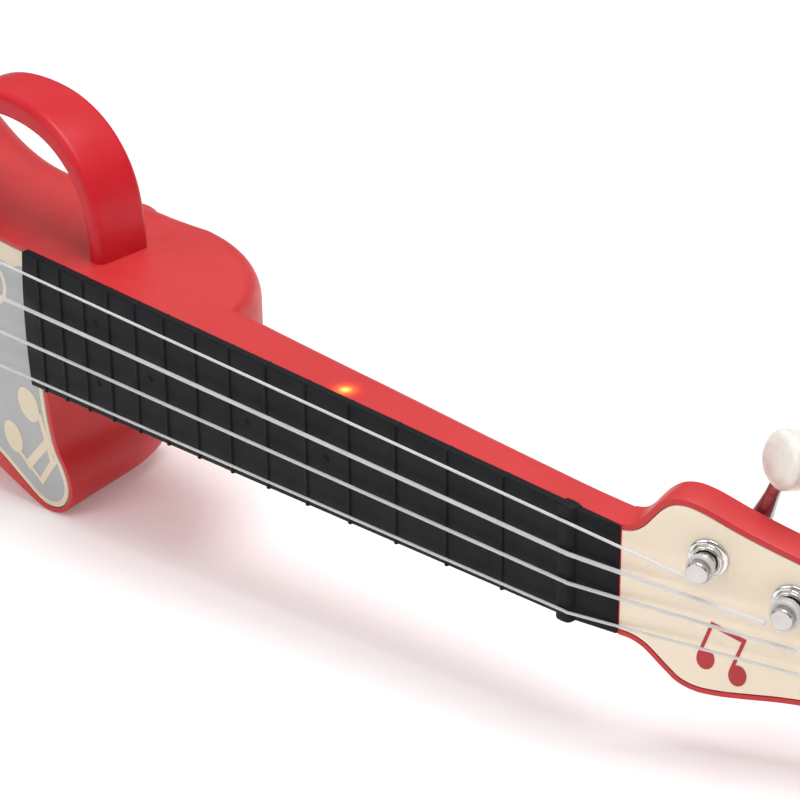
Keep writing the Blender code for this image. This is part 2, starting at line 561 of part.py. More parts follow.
# ---------------------------------------------------------------- tuners
for i in range(4):
    k = i + 1
    base = tuner_point(i, 0, 0, 0)
    # bushing: domed washer on the face with a sleeve in the headstock
    keep(lathe("tuner_bushing_%d" % k,
               [(3.25, -2.0), (4.2, -2.15), (5.0, -1.6), (5.45, -0.7), (5.45, -0.1),
                (3.75, -0.1), (3.75, 6.0), (3.25, 6.0)], base, HEAD_N, HEAD_U, 24, hollow=True),
         CHROME)
    # plate on the back of the head with two ears that carry the worm
    plate_box = []
    for n in (HEAD_T + 0.1, HEAD_T + 1.1):
        plate_box.append([tuner_point(i, u, v, n) for u, v in
                          ((-5.5, -6.5), (10.0, -6.5), (10.0, 7.4), (-5.5, 7.4))])
    tplate = loft("tuner_plate_%d" % k, plate_box)
    for v0 in (-6.2, 4.6):
        ear = []
        for n in (HEAD_T + 0.6, WORM_DEPTH + 2.4):
            ear.append([tuner_point(i, u, v, n) for u, v in
                        ((3.2, v0), (8.8, v0), (8.8, v0 + 1.6), (3.2, v0 + 1.6))])
        combine(tplate, loft("ear", ear), "UNION")
    combine(tplate, lathe("bore", [(1.5, -10.0), (1.5, 10.0)],
                          tuner_point(i, WORM_OFFSET, 0, WORM_DEPTH), HEAD_V, HEAD_U, 16),
            "DIFFERENCE")
    combine(tplate, lathe("post_bore", [(3.3, HEAD_T - 2), (3.3, HEAD_T + 1.5)], base, HEAD_N,
                          HEAD_U, 20), "DIFFERENCE")
    keep(tplate, STEEL)
    # post with its gear wheel
    gear = []
    teeth_n = (WORM_DEPTH - 1.7, WORM_DEPTH + 1.7)
    ring = []
    for tooth in range(GEAR_TEETH):
        for frac, radius in ((0.0, 3.35), (0.3, 3.35), (0.42, 3.85), (0.78, 3.85)):
            a = 2 * math.pi * (tooth + frac) / GEAR_TEETH
            ring.append((radius * math.cos(a), radius * math.sin(a)))
    for n in teeth_n:
        gear.append([tuner_point(i, u, v, n) for u, v in ring])
    post = lathe("tuner_post_%d" % k, [(2.6, -9.0), (POST_R, -8.5), (POST_R, WORM_DEPTH + 2.2)],
                 base, HEAD_N, HEAD_U, 20)
    combine(post, loft("gear", gear), "UNION")
    keep(post, CHROME, base)
    # worm shaft and stem, then its knob
    worm_at = tuner_point(i, WORM_OFFSET, 0, WORM_DEPTH)
    keep(lathe("tuner_worm_%d" % k,
               [(1.0, -7.4), (1.3, -7.2), (1.3, -4.3), (1.9, -4.0), (1.9, 4.0), (1.3, 4.3),
                (1.3, 6.4), (2.9, 6.7), (3.0, 8.6), (2.6, 11.0), (2.1, 15.5), (1.9, 19.3)],
               worm_at, HEAD_V, HEAD_U, 16), STEEL, worm_at)
    knob_rings = []
    for v, half_u, half_n in ((19.6, 3.0, 2.4), (20.6, 4.9, 3.2), (23.0, 6.9, 3.7),
                              (27.0, 7.8, 3.8), (30.6, 7.2, 3.6), (33.0, 5.4, 3.0),
                              (34.2, 3.2, 2.2)):
        ring = []
        for j in range(16):
            a = 2 * math.pi * (j + 0.5) / 16
            # a flat oval with firm edges, at rest turned 40 degrees about its stem
            across = half_u * math.copysign(abs(math.cos(a)) ** 0.4, math.cos(a))
            thick = half_n * math.copysign(abs(math.sin(a)) ** 0.4, math.sin(a))
            ring.append(tuner_point(i, WORM_OFFSET + across * KNOB_COS - thick * KNOB_SIN, v,
                                    WORM_DEPTH - across * KNOB_SIN - thick * KNOB_COS))
        knob_rings.append(ring)
    keep(loft("tuner_knob_%d" % k, knob_rings), KNOB_WHITE, worm_at)

# ---------------------------------------------------------------- buttons
for name, bx, bz in BUTTONS:
    keep(lathe(name, [(BUTTON_R - 1.2, -2.0), (BUTTON_R - 0.3, -1.6), (BUTTON_R, -0.9),
                      (BUTTON_R, 3.4), (BUTTON_R + 1.3, 3.4), (BUTTON_R + 1.3, 4.4),
                      (1.8, 4.4), (1.8, 4.9)], (bx, 0.0, bz), steps=24),
         BUTTON_CREAM, (bx, 0.0, bz))

# ---------------------------------------------------------------- speaker
keep(lathe("speaker_frame",
           [(SPEAKER_R, 3.2), (SPEAKER_R, 5.2), (24.5, 5.2), (15.0, 13.5), (15.0, 15.0),
            (18.0, 15.0), (18.0, 23.0), (4.0, 23.0), (4.0, 13.0), (12.6, 13.0), (22.4, 4.6),
            (25.0, 3.2)], (SPEAKER_X, 0.0, 0.0), steps=32, hollow=True), SPEAKER)
keep(lathe("speaker_cone",
           [(0.5, 6.5), (5.0, 7.6), (7.0, 8.6), (21.6, 4.3), (21.6, 4.9), (8.5, 10.4),
            (8.5, 12.4), (0.5, 12.4)], (SPEAKER_X, 0.0, 0.0), steps=32), PAPER)

# ---------------------------------------------------------------- electronics
pcb = box("main_board", -414.0, -334.0, 9.0, 10.6, 38.0, 66.0)
for x, z in ((-410.0, 42.0), (-410.0, 62.0), (-339.0, 41.0), (-339.0, 56.0)):
    combine(pcb, lathe("standoff", [(1.6, 3.15), (1.6, 9.5)], (x, 0.0, z), steps=10), "UNION")
for _, bx, bz in BUTTONS:
    combine(pcb, box("switch", bx - 3, bx + 3, 6.5, 9.5, bz - 3, bz + 3), "UNION")
combine(pcb, box("chip", -396.0, -386.0, 10.0, 12.0, 44.0, 54.0), "UNION")
combine(pcb, box("plug", -352.0, -342.0, 10.0, 15.0, 42.0, 48.0), "UNION")
keep(pcb, BOARD)
led = box("led_board", -188.0, -8.0, 4.6, 5.8, -6.0, 6.0)
for n in range(1, FRETS - 1):
    x = 0.5 * (fret_x(n) + fret_x(n - 1))
    combine(led, box("led", x - 1.6, x + 1.6, 3.2, 5.0, -1.2, 1.2), "UNION")
keep(led, BOARD)
keep(lathe("bridge_pickup", [(10.0, 3.2), (10.0, 3.7)], (-381.0, 0.0, 0.0), steps=24), BRASS)

# ---------------------------------------------------------------- battery bay
tray = box("battery_tray", -455.5, -404.5, 36.6, 54.4, -31.0, 31.0)
combine(tray, box("tray_hole", -454.1, -405.9, 38.0, 60.0, -29.6, 29.6), "DIFFERENCE")
combine(tray, box("tray_foot", -440.0, -420.0, 3.3, 37.4, -1.2, 1.2), "UNION")
keep(tray, TRAY)
for k, x in enumerate(CELL_X):
    way = 1 if k % 2 == 0 else -1
    keep(lathe("cell_%d" % (k + 1),
               [(CELL_R - 0.5, -CELL_L / 2), (CELL_R, -CELL_L / 2 + 0.5),
                (CELL_R, CELL_L / 2 - 1.8), (CELL_R - 0.6, CELL_L / 2 - 1.2),
                (2.6, CELL_L / 2 - 1.2), (2.6, CELL_L / 2)],
               (x, CELL_Y, 0.0), (0, 0, way), (1, 0, 0), 18), CELL)
for side, z0 in (("bass", 28.4), ("treble", -29.3)):
    keep(box("contact_strip_" + side, -452.0, -408.0, 39.5, 51.5, z0, z0 + 0.9), SPRING)
for k, x in enumerate(CELL_X):
    end = -1 if k % 2 == 0 else 1
    coil = []
    for j in range(31):
        a = 2 * math.pi * j / 10
        radius = 4.2 - 1.2 * j / 30
        coil.append((x + radius * math.cos(a), CELL_Y + radius * math.sin(a),
                     end * (28.0 - 2.2 * j / 30)))
    keep(tube("contact_spring_%d" % (k + 1), coil, 0.28, 5, up=(0, 0, 1)), SPRING)
door = box("battery_door", DOOR[0] + 0.35, DOOR[1] - 0.35, 55.4, 57.9, DOOR[2] + 0.35,
           DOOR[3] - 0.35)
combine(door, ear_shape("door_ear", 5.2, -406.0, *EAR_Y), "UNION")
combine(door, lathe("door_hole", [(1.9, 50.0), (1.9, 62.0)], (DOOR_SCREW_X, 0.0, 0.0), steps=16),
        "DIFFERENCE")
for j in range(4):
    combine(door, box("grip", -452.0 + 5 * j, -450.0 + 5 * j, 57.3, 60.0, -12.0, 12.0),
            "DIFFERENCE")
keep(door, RED)
screw = lathe("door_screw", [(1.4, 48.0), (1.4, 56.15), (3.0, 56.15), (3.0, 57.0), (2.2, 57.7)],
              (DOOR_SCREW_X, 0.0, 0.0), steps=16)
combine(screw, box("drive_a", -399.0, -395.0, 57.1, 62.0, -0.35, 0.35), "DIFFERENCE")
combine(screw, box("drive_b", -397.35, -396.65, 57.1, 62.0, -2.0, 2.0), "DIFFERENCE")
keep(screw, SCREW)

# ---------------------------------------------------------------- end pin
keep(lathe("end_pin", [(3.0, 4.0), (3.0, -1.6), (5.5, -1.6), (5.5, -3.4), (3.4, -4.6),
                       (3.4, -7.4), (6.4, -9.0), (6.4, -10.6), (5.2, -11.4)],
           (-479.0, 26.0, 0.0), (1, 0, 0), (0, 1, 0), 24), RED)

# ---------------------------------------------------------------- stand it on its treble edge
bpy.context.view_layer.update()
housing = np.array([tuple(v.co) for n in ("rear_housing", "neck_housing")
                    for v in bpy.data.objects[n].data.vertices])
low, high = 0.0, 0.3
for _ in range(50):
    tilt = 0.5 * (low + high)
    height = -housing[:, 0] * math.sin(tilt) + housing[:, 2] * math.cos(tilt)
    at_horn = height[(housing[:, 0] > -0.26) & (housing[:, 0] < -0.19)].min()
    at_bout = height[housing[:, 0] < -0.30].min()
    if at_horn > at_bout:
        low = tilt
    else:
        high = tilt
turn = Matrix.Rotation(tilt, 4, "Y")
corners = []
for obj, _ in final:
    obj.data.transform(turn)
    corners += [tuple(v.co) for v in obj.data.vertices]
corners = np.array(corners)
mid = 0.5 * (corners.min(0) + corners.max(0))
shift = Matrix.Translation((-mid[0], -mid[1], -corners[:, 2].min()))
for obj, origin in final:
    obj.data.transform(shift)
    if origin is not None:
        at = shift @ (turn @ Vector([c * 0.001 for c in origin]))
        obj.data.transform(Matrix.Translation(-at))
        obj.location = at
    for poly in obj.data.polygons:
        poly.use_smooth = False
bpy.context.view_layer.update()
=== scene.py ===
"""Looks of the four-string electronic toy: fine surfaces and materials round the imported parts.

Shapes are drawn in the instrument's own frame in millimetres (origin at the nut, +X toward the
headstock, +Y toward the back, +Z toward the handle) and placed by TO_WORLD, which is worked out
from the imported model's first string post.
"""
import json
import math

import bmesh
import bpy
import numpy as np
from mathutils import Matrix, Vector

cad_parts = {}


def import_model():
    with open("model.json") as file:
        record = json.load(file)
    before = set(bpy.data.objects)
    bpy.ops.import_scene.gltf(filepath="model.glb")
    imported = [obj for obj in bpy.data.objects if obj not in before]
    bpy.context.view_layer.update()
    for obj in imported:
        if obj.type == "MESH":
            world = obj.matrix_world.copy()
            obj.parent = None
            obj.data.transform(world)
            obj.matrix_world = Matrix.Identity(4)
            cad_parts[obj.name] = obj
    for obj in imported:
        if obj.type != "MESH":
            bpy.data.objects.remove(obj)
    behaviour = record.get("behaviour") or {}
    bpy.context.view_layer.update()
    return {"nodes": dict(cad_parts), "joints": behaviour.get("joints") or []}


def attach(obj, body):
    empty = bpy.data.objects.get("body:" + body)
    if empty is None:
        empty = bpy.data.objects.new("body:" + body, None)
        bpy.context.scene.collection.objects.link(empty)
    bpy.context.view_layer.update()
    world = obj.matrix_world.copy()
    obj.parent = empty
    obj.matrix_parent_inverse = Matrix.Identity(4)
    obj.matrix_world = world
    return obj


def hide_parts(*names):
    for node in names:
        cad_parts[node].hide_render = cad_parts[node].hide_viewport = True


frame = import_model()

# ---------------------------------------------------------------- driving dimensions (mm)
SCALE = 380.0            # nut to saddle
FRETS = 14
BODY_DEPTH = 58.0
WALL = 3.0
RIM = 1.5                # red rim round the front plate
PLATE_T = 3.0
NUT_HALF = 16.77         # half width of the neck at the nut
TAPER = 0.02828          # half width gained per mm toward the body
BOARD_T = 2.5            # fretboard above the neck
BOARD_TAIL = -218.0
BOARD_HEAD = 16.7
FRET_SHOWN = 0.55        # the rounded crown of a fret; its solid is 0.9 high
HEAD_TILT = math.radians(18.0)
HEAD_T = 12.0
FACE_T = 1.2
HANDLE_Y = (7.5, 27.6)   # the handle's front and back face
STRING_R = (0.42, 0.62, 0.52, 0.42)
STRING_Z_NUT = (13.4, 4.4, -4.4, -13.4)
STRING_Z_SADDLE = (21.5, 7.2, -7.2, -21.5)
NUT_STRING_Y = -4.55
SADDLE_STRING_Y = -6.4
POSTS = ((23.7, 12.3), (46.3, 4.5), (68.9, -2.4), (91.5, -9.4))
POST_LEAN = math.radians(19.0)
POST_R = 3.0
WORM_OFFSET = 6.0
WORM_DEPTH = 16.0
GEAR_TEETH = 14
KNOB_COS, KNOB_SIN = math.cos(math.radians(40.0)), math.sin(math.radians(40.0))
WRAP_N = -6.9
SPEAKER_X = -292.0
SPEAKER_R = 28.0
BUTTONS = (("button_power", -346.0, 50.0), ("button_volume_up", -364.0, 55.5),
           ("button_volume_down", -382.5, 57.5), ("button_mode", -401.0, 55.5))
BUTTON_R = 5.0
CELL_R = 7.1
CELL_L = 50.0
CELL_X = (-446.0, -430.0, -414.0)
CELL_Y = 45.5
DOOR = (-457.0, -403.0, -34.0, 34.0)     # battery opening: x0, x1, z0, z1
DOOR_SCREW_X = -397.0
EAR_FRONT = 54.7         # inner face of the door's sunk screw ear
PIN_AT = (-479.0, 26.0, 0.0)
LAMP = (-84.5, 2.9, 19.2)        # the lit lamp, seen through the neck's side

FINE = 2    # mesh fineness

HEAD_N = Vector((-math.sin(HEAD_TILT), math.cos(HEAD_TILT), 0.0))
HEAD_U = Vector((math.cos(HEAD_TILT) * math.cos(POST_LEAN),
                 math.sin(HEAD_TILT) * math.cos(POST_LEAN), -math.sin(POST_LEAN)))
HEAD_V = Vector((math.cos(HEAD_TILT) * math.sin(POST_LEAN),
                 math.sin(HEAD_TILT) * math.sin(POST_LEAN), math.cos(POST_LEAN)))


def head_point(t, z, n):
    """Point on the headstock: t along it, z across it, n behind its face."""
    return (BOARD_HEAD + 0.3 + t * math.cos(HEAD_TILT) - n * math.sin(HEAD_TILT),
            t * math.sin(HEAD_TILT) + n * math.cos(HEAD_TILT), z)


def tuner_point(i, u, v, n):
    """Point near tuner i: u along the row of posts, v toward its knob, n behind the face."""
    t, z = POSTS[i]
    return tuple(Vector(head_point(t, z, n)) + HEAD_U * u + HEAD_V * v)


def half_width(x):
    return NUT_HALF - TAPER * x


def fret_x(n):
    return -SCALE * (1.0 - 2.0 ** (-n / 12.0))


# ---------------------------------------------------------------- instrument frame to row frame
joints = {j["name"]: j for j in frame["joints"]}
knob_axis = Vector(joints["knob_1_turn"]["axis"])
lean = math.atan2(knob_axis.x, knob_axis.z) - math.atan2(HEAD_V.x, HEAD_V.z)
turn = Matrix.Rotation(lean, 4, "Y")
post_at = Vector(joints["post_1_turn"]["pos_m"])
post_own = Vector(tuner_point(0, 0.0, 0.0, 0.0)) * 0.001
TO_WORLD = Matrix.Translation(post_at - turn @ post_own) @ turn @ Matrix.Scale(0.001, 4)


def world(p):
    return TO_WORLD @ Vector(p)


# ---------------------------------------------------------------- mesh tools
def new_object(name, verts, faces, merge=1e-5):
    mesh = bpy.data.meshes.new(name)
    mesh.from_pydata([tuple(v) for v in verts], [], faces)
    bm = bmesh.new()
    bm.from_mesh(mesh)
    bmesh.ops.remove_doubles(bm, verts=bm.verts, dist=merge)
    bmesh.ops.recalc_face_normals(bm, faces=bm.faces)
    bm.to_mesh(mesh)
    bm.free()
    obj = bpy.data.objects.new(name, mesh)
    bpy.context.scene.collection.objects.link(obj)
    return obj


def loft(name, rings, closed=False):
    """One closed solid through equal-length rings of points."""
    n = len(rings[0])
    verts = [p for ring in rings for p in ring]
    faces = []
    rows = len(rings)
    for k in range(rows if closed else rows - 1):
        a, b = k * n, ((k + 1) % rows) * n
        for i in range(n):
            j = (i + 1) % n
            faces.append((a + i, a + j, b + j, b + i))
    if not closed:
        faces.append(tuple(range(n)))
        faces.append(tuple(range((rows - 1) * n, rows * n))[::-1])
    return new_object(name, verts, faces)


def prism(name, outline, y0, y1):
    """Outline of (x, z) points pushed along Y."""
    return loft(name, [[(x, y, z) for x, z in outline] for y in (y0, y1)])


def box(name, x0, x1, y0, y1, z0, z1):
    return prism(name, [(x0, z0), (x1, z0), (x1, z1), (x0, z1)], y0, y1)


def lathe(name, profile, centre, axis=(0, 1, 0), side=(1, 0, 0), steps=48, hollow=False, wobble=None):
    """Turn (radius, height) pairs about an axis; wobble(angle, height) adds to the radius."""
    axis, side = Vector(axis).normalized(), Vector(side).normalized()
    other = axis.cross(side)
    rings = []
    for r, h in profile:
        ring = []
        for i in range(steps):
            a = 2.0 * math.pi * i / steps
            rr = r + (wobble(a, h) if wobble else 0.0)
            ring.append(tuple(Vector(centre) + axis * h + side * (rr * math.cos(a))
                              + other * (rr * math.sin(a))))
        rings.append(ring)
    return loft(name, rings, closed=hollow)


def rounded(profile, radius, steps=4):
    """Round the corners of an open (radius, height) profile."""
    out = [profile[0]]
    for a, b, c in zip(profile, profile[1:], profile[2:]):
        a, b, c = Vector(a), Vector(b), Vector(c)
        reach = min(radius, (a - b).length * 0.45, (c - b).length * 0.45)
        p, q = b + (a - b).normalized() * reach, b + (c - b).normalized() * reach
        for k in range(steps + 1):
            t = k / steps
            out.append(tuple(p * (1 - t) ** 2 + b * (2 * t * (1 - t)) + q * t ** 2))
    return out + [profile[-1]]


def tube(name, points, radii, sides=12, up=(0, 1, 0)):
    """Round bar along a path, its radius given point by point."""
    pts = [Vector(p) for p in points]
    rings = []
    normal = Vector(up)
    for i, p in enumerate(pts):
        t = (pts[min(i + 1, len(pts) - 1)] - pts[max(i - 1, 0)]).normalized()
        normal = (normal - t * normal.dot(t)).normalized()
        other = t.cross(normal)
        r = radii[i] if isinstance(radii, (list, tuple)) else radii
        rings.append([tuple(p + normal * (r * math.cos(2 * math.pi * k / sides))
                            + other * (r * math.sin(2 * math.pi * k / sides)))
                      for k in range(sides)])
    return loft(name, rings)


def combine(target, others, operation):
    """Exact boolean, kept as plain mesh."""
    for other in others if isinstance(others, (list, tuple)) else [others]:
        mod = target.modifiers.new("cut", "BOOLEAN")
        mod.operation = operation
        mod.solver = "EXACT"
        mod.object = other
        apply_modifiers(target)
        bpy.data.objects.remove(other, do_unlink=True)
    return target


def apply_modifiers(obj):
    bpy.context.view_layer.update()
    graph = bpy.context.evaluated_depsgraph_get()
    mesh = bpy.data.meshes.new_from_object(obj.evaluated_get(graph))
    obj.modifiers.clear()
    old = obj.data
    obj.data = mesh
    bpy.data.meshes.remove(old)


def bevel(obj, width, steps=2, angle=35):
    """Round the edges of a mesh in millimetres."""
    mod = obj.modifiers.new("edges", "BEVEL")
    mod.width = width
    mod.segments = steps
    mod.limit_method = "ANGLE"
    mod.angle_limit = math.radians(angle)
    apply_modifiers(obj)
    return obj


def spline(points, count, closed=True):
    """Centripetal Catmull-Rom through the points, resampled evenly along its length."""
    pts = [np.array(p, float) for p in points]
    n = len(pts)
    dense = []
    for i in range(n if closed else n - 1):
        if closed:
            p0, p1, p2, p3 = (pts[(i + k - 1) % n] for k in range(4))
        else:
            p0, p1 = pts[max(i - 1, 0)], pts[i]
            p2, p3 = pts[i + 1], pts[min(i + 2, n - 1)]
            if i == 0:
                p0 = 2 * p1 - p2
            if i == n - 2:
                p3 = 2 * p2 - p1
        t = [0.0]
        for a, b in ((p0, p1), (p1, p2), (p2, p3)):
            t.append(t[-1] + max(np.linalg.norm((b - a)[:2]), 1e-6) ** 0.5)
        for s in np.linspace(t[1], t[2], 24, endpoint=False):
            a1 = (t[1] - s) / (t[1] - t[0]) * p0 + (s - t[0]) / (t[1] - t[0]) * p1
            a2 = (t[2] - s) / (t[2] - t[1]) * p1 + (s - t[1]) / (t[2] - t[1]) * p2
            a3 = (t[3] - s) / (t[3] - t[2]) * p2 + (s - t[2]) / (t[3] - t[2]) * p3
            b1 = (t[2] - s) / (t[2] - t[0]) * a1 + (s - t[0]) / (t[2] - t[0]) * a2
            b2 = (t[3] - s) / (t[3] - t[1]) * a2 + (s - t[1]) / (t[3] - t[1]) * a3
            dense.append((t[2] - s) / (t[2] - t[1]) * b1 + (s - t[1]) / (t[2] - t[1]) * b2)
    dense.append(dense[0] if closed else pts[-1])
    dense = np.array(dense)
    run = np.concatenate([[0.0], np.cumsum(np.linalg.norm(np.diff(dense[:, :2], axis=0), axis=1))])
    marks = np.linspace(0.0, run[-1], count + 1)[:-1] if closed else np.linspace(0, run[-1], count)
    return np.stack([np.interp(marks, run, dense[:, k]) for k in range(dense.shape[1])], 1)


def inward(outline, blur):
    """Unit inward directions of a closed outline, smoothed over `blur` points each way."""
    k = np.arange(-blur, blur + 1)
    weight = np.exp(-0.5 * (k / max(blur / 2.0, 0.5)) ** 2)
    tangent = np.roll(outline, -1, 0) - np.roll(outline, 1, 0)
    smooth = sum(w * np.roll(tangent, int(-s), 0) for s, w in zip(k, weight))
    x, z = outline[:, 0], outline[:, 1]
    way = np.sign(np.sum(x * np.roll(z, -1) - np.roll(x, -1) * z))
    normal = np.stack([-smooth[:, 1], smooth[:, 0]], 1) * way
    return normal / np.linalg.norm(normal, axis=1)[:, None]


def finish(obj, mat, nodes=(), body="instrument", angle=38):
    """Place a drawn piece in the row frame, shade it and hang it on its body."""
    obj.data.transform(TO_WORLD)
    obj.data.materials.clear()
    obj.data.materials.append(mat)
    obj.data.shade_smooth()
    obj.data.set_sharp_from_angle(angle=math.radians(angle))
    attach(obj, body)
    if nodes:
        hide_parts(*nodes)
    return obj


def from_cad(node, name, mat, width, steps, body="instrument"):
    """A CAD solid with its flat faces joined again and its edges rounded to `width`."""
    src = frame["nodes"][node]
    obj = bpy.data.objects.new(name, src.data.copy())
    bpy.context.scene.collection.objects.link(obj)
    obj.data.transform(TO_WORLD.inverted())
    bm = bmesh.new()
    bm.from_mesh(obj.data)
    bmesh.ops.remove_doubles(bm, verts=bm.verts, dist=1e-4)
    bmesh.ops.dissolve_limit(bm, angle_limit=math.radians(1.0), verts=bm.verts, edges=bm.edges)
    bm.to_mesh(obj.data)
    bm.free()
    bevel(obj, width, steps)
    return finish(obj, mat, (node,), body)


# ---------------------------------------------------------------- materials
class Nodes:
    """A few shorthands for building a material's node tree."""

    def __init__(self, name):
        self.mat = bpy.data.materials.new(name)
        self.mat.use_nodes = True
        self.tree = self.mat.node_tree
        self.shader = self.tree.nodes["Principled BSDF"]
        self.coords = self.tree.nodes.new("ShaderNodeTexCoord").outputs["Object"]

    def link(self, a, b):
        self.tree.links.new(a, b)

    def noise(self, scale, detail=3.0, rough=0.5, stretch=None, distortion=0.0):
        tex = self.tree.nodes.new("ShaderNodeTexNoise")
        tex.inputs["Scale"].default_value = scale
        tex.inputs["Detail"].default_value = detail
        tex.inputs["Roughness"].default_value = rough
        tex.inputs["Distortion"].default_value = distortion
        coords = self.coords
        if stretch:
            mapping = self.tree.nodes.new("ShaderNodeMapping")
            mapping.inputs["Scale"].default_value = stretch
            self.link(coords, mapping.inputs["Vector"])
            coords = mapping.outputs["Vector"]
        self.link(coords, tex.inputs["Vector"])
        return tex.outputs["Fac"]

    def ramp(self, factor, *stops):
        node = self.tree.nodes.new("ShaderNodeValToRGB")
        marks = node.color_ramp.elements
        while len(marks) < len(stops):
            marks.new(0.5)
        for mark, (place, rgb) in zip(marks, stops):
            mark.position = place
            mark.color = (*rgb, 1.0)
        self.link(factor, node.inputs["Fac"])
        return node.outputs["Color"]

    def spread(self, factor, low, high, start=0.0, end=1.0):
        node = self.tree.nodes.new("ShaderNodeMapRange")
        for key, value in (("From Min", start), ("From Max", end), ("To Min", low), ("To Max", high)):
            node.inputs[key].default_value = value
        self.link(factor, node.inputs["Value"])
        return node.outputs["Result"]

    def math(self, operation, a, b):
        node = self.tree.nodes.new("ShaderNodeMath")
        node.operation = operation
        for slot, value in zip(node.inputs, (a, b)):
            if isinstance(value, (int, float)):
                slot.default_value = value
            else:
                self.link(value, slot)
        return node.outputs["Value"]

    def bump(self, height, strength, distance):
        node = self.tree.nodes.new("ShaderNodeBump")
        node.inputs["Strength"].default_value = strength
        node.inputs["Distance"].default_value = distance
        self.link(height, node.inputs["Height"])
        self.link(node.outputs["Normal"], self.shader.inputs["Normal"])

    def fix(self, **values):
        for key, value in values.items():
            self.shader.inputs[key.replace("_", " ")].default_value = value


def moulded(name, dark, light, rough=(0.34, 0.44), grain=2600.0, depth=0.00003, strength=0.25,
            cloud=38.0, **fixed):
    """Moulded plastic: slow colour drift, a fine spark-eroded grain and uneven gloss."""
    n = Nodes(name)
    n.link(n.ramp(n.noise(cloud, 4.0, 0.6), (0.35, dark), (0.65, light)), n.shader.inputs["Base Color"])
    n.link(n.spread(n.noise(cloud * 3.1, 3.0), *rough, 0.3, 0.7), n.shader.inputs["Roughness"])
    n.bump(n.noise(grain, 2.0, 0.6), strength, depth)
    n.fix(**fixed)
    return n.mat


def metal(name, dark, light, rough=(0.10, 0.18), brush=(1.0, 1.0, 1.0), scale=900.0, depth=0.00001):
    """Plated metal with faint rubbing marks."""
    n = Nodes(name)
    marks = n.noise(scale, 4.0, 0.6, stretch=brush)
    n.link(n.ramp(n.noise(160.0, 3.0), (0.3, dark), (0.7, light)), n.shader.inputs["Base Color"])
    n.link(n.spread(marks, *rough, 0.3, 0.7), n.shader.inputs["Roughness"])
    n.bump(marks, 0.15, depth)
    n.fix(Metallic=1.0)
    return n.mat


def housing_red():
    """The housing's red, with the lamp's light soaking through the neck's side."""
    n = Nodes("red_plastic_lit")
    n.link(n.ramp(n.noise(30.0, 4.0, 0.6), (0.35, (0.530, 0.026, 0.028)), (0.65, (0.570, 0.034, 0.036))),
           n.shader.inputs["Base Color"])
    n.link(n.spread(n.noise(95.0, 3.0), 0.38, 0.48, 0.3, 0.7), n.shader.inputs["Roughness"])
    n.bump(n.noise(2600.0, 2.0, 0.6), 0.22, 0.00003)
    reach = n.tree.nodes.new("ShaderNodeVectorMath")
    reach.operation = "DISTANCE"
    n.link(n.coords, reach.inputs[0])
    reach.inputs[1].default_value = world(LAMP)
    near = n.spread(reach.outputs["Value"], 1.0, 0.0, 0.0, 0.0085)
    n.link(n.ramp(near, (0.0, (0.5, 0.0, 0.0)), (0.45, (0.9, 0.03, 0.0)), (0.72, (1.0, 0.28, 0.0)),
                  (0.92, (1.0, 0.78, 0.12))), n.shader.inputs["Emission Color"])
    n.link(n.math("MULTIPLY", n.math("POWER", near, 3.0), 1.5), n.shader.inputs["Emission Strength"])
    n.fix(Specular_IOR_Level=0.38)
    return n.mat


def pearl():
    """Pearly knob plastic: slow milky swirls under a glossy skin."""
    n = Nodes("knob_pearl_swirl")
    swirl = n.noise(110.0, 5.0, 0.55, distortion=1.6)
    n.link(n.ramp(swirl, (0.3, (0.70, 0.64, 0.56)), (0.5, (0.80, 0.75, 0.68)), (0.7, (0.86, 0.83, 0.78))),
           n.shader.inputs["Base Color"])
    n.link(n.spread(n.noise(300.0), 0.22, 0.32, 0.3, 0.7), n.shader.inputs["Roughness"])
    n.bump(n.noise(700.0, 2.0), 0.08, 0.00002)
    n.fix(Coat_Weight=0.3, Coat_Roughness=0.12, Subsurface_Weight=0.15, Subsurface_Scale=0.002)
    return n.mat


def nylon(name, alpha):
    """Clear-white string: slightly see-through, with drawn-out fine lines."""
    n = Nodes(name)
    n.link(n.ramp(n.noise(60.0, 2.0), (0.3, (0.72, 0.72, 0.73)), (0.7, (0.79, 0.79, 0.79))),
           n.shader.inputs["Base Color"])
    n.link(n.spread(n.noise(500.0, 3.0, stretch=(0.05, 1.0, 1.0)), 0.18, 0.30, 0.3, 0.7),
           n.shader.inputs["Roughness"])
    n.fix(Specular_IOR_Level=0.4, Alpha=alpha)
    return n.mat


def circuit():
    """Solder mask over copper tracks."""
    n = Nodes("circuit_green_tracks")
    cells = n.tree.nodes.new("ShaderNodeTexBrick")
    cells.inputs["Scale"].default_value = 260.0
    cells.inputs["Mortar Size"].default_value = 0.06
    cells.inputs["Color1"].default_value = (0.015, 0.16, 0.06, 1.0)
    cells.inputs["Color2"].default_value = (0.02, 0.20, 0.08, 1.0)
    cells.inputs["Mortar"].default_value = (0.10, 0.34, 0.14, 1.0)
    n.link(n.coords, cells.inputs["Vector"])
    n.link(cells.outputs["Color"], n.shader.inputs["Base Color"])
    n.link(n.spread(n.noise(400.0), 0.3, 0.45, 0.3, 0.7), n.shader.inputs["Roughness"])
    n.bump(cells.outputs["Fac"], 0.3, 0.00004)
    return n.mat


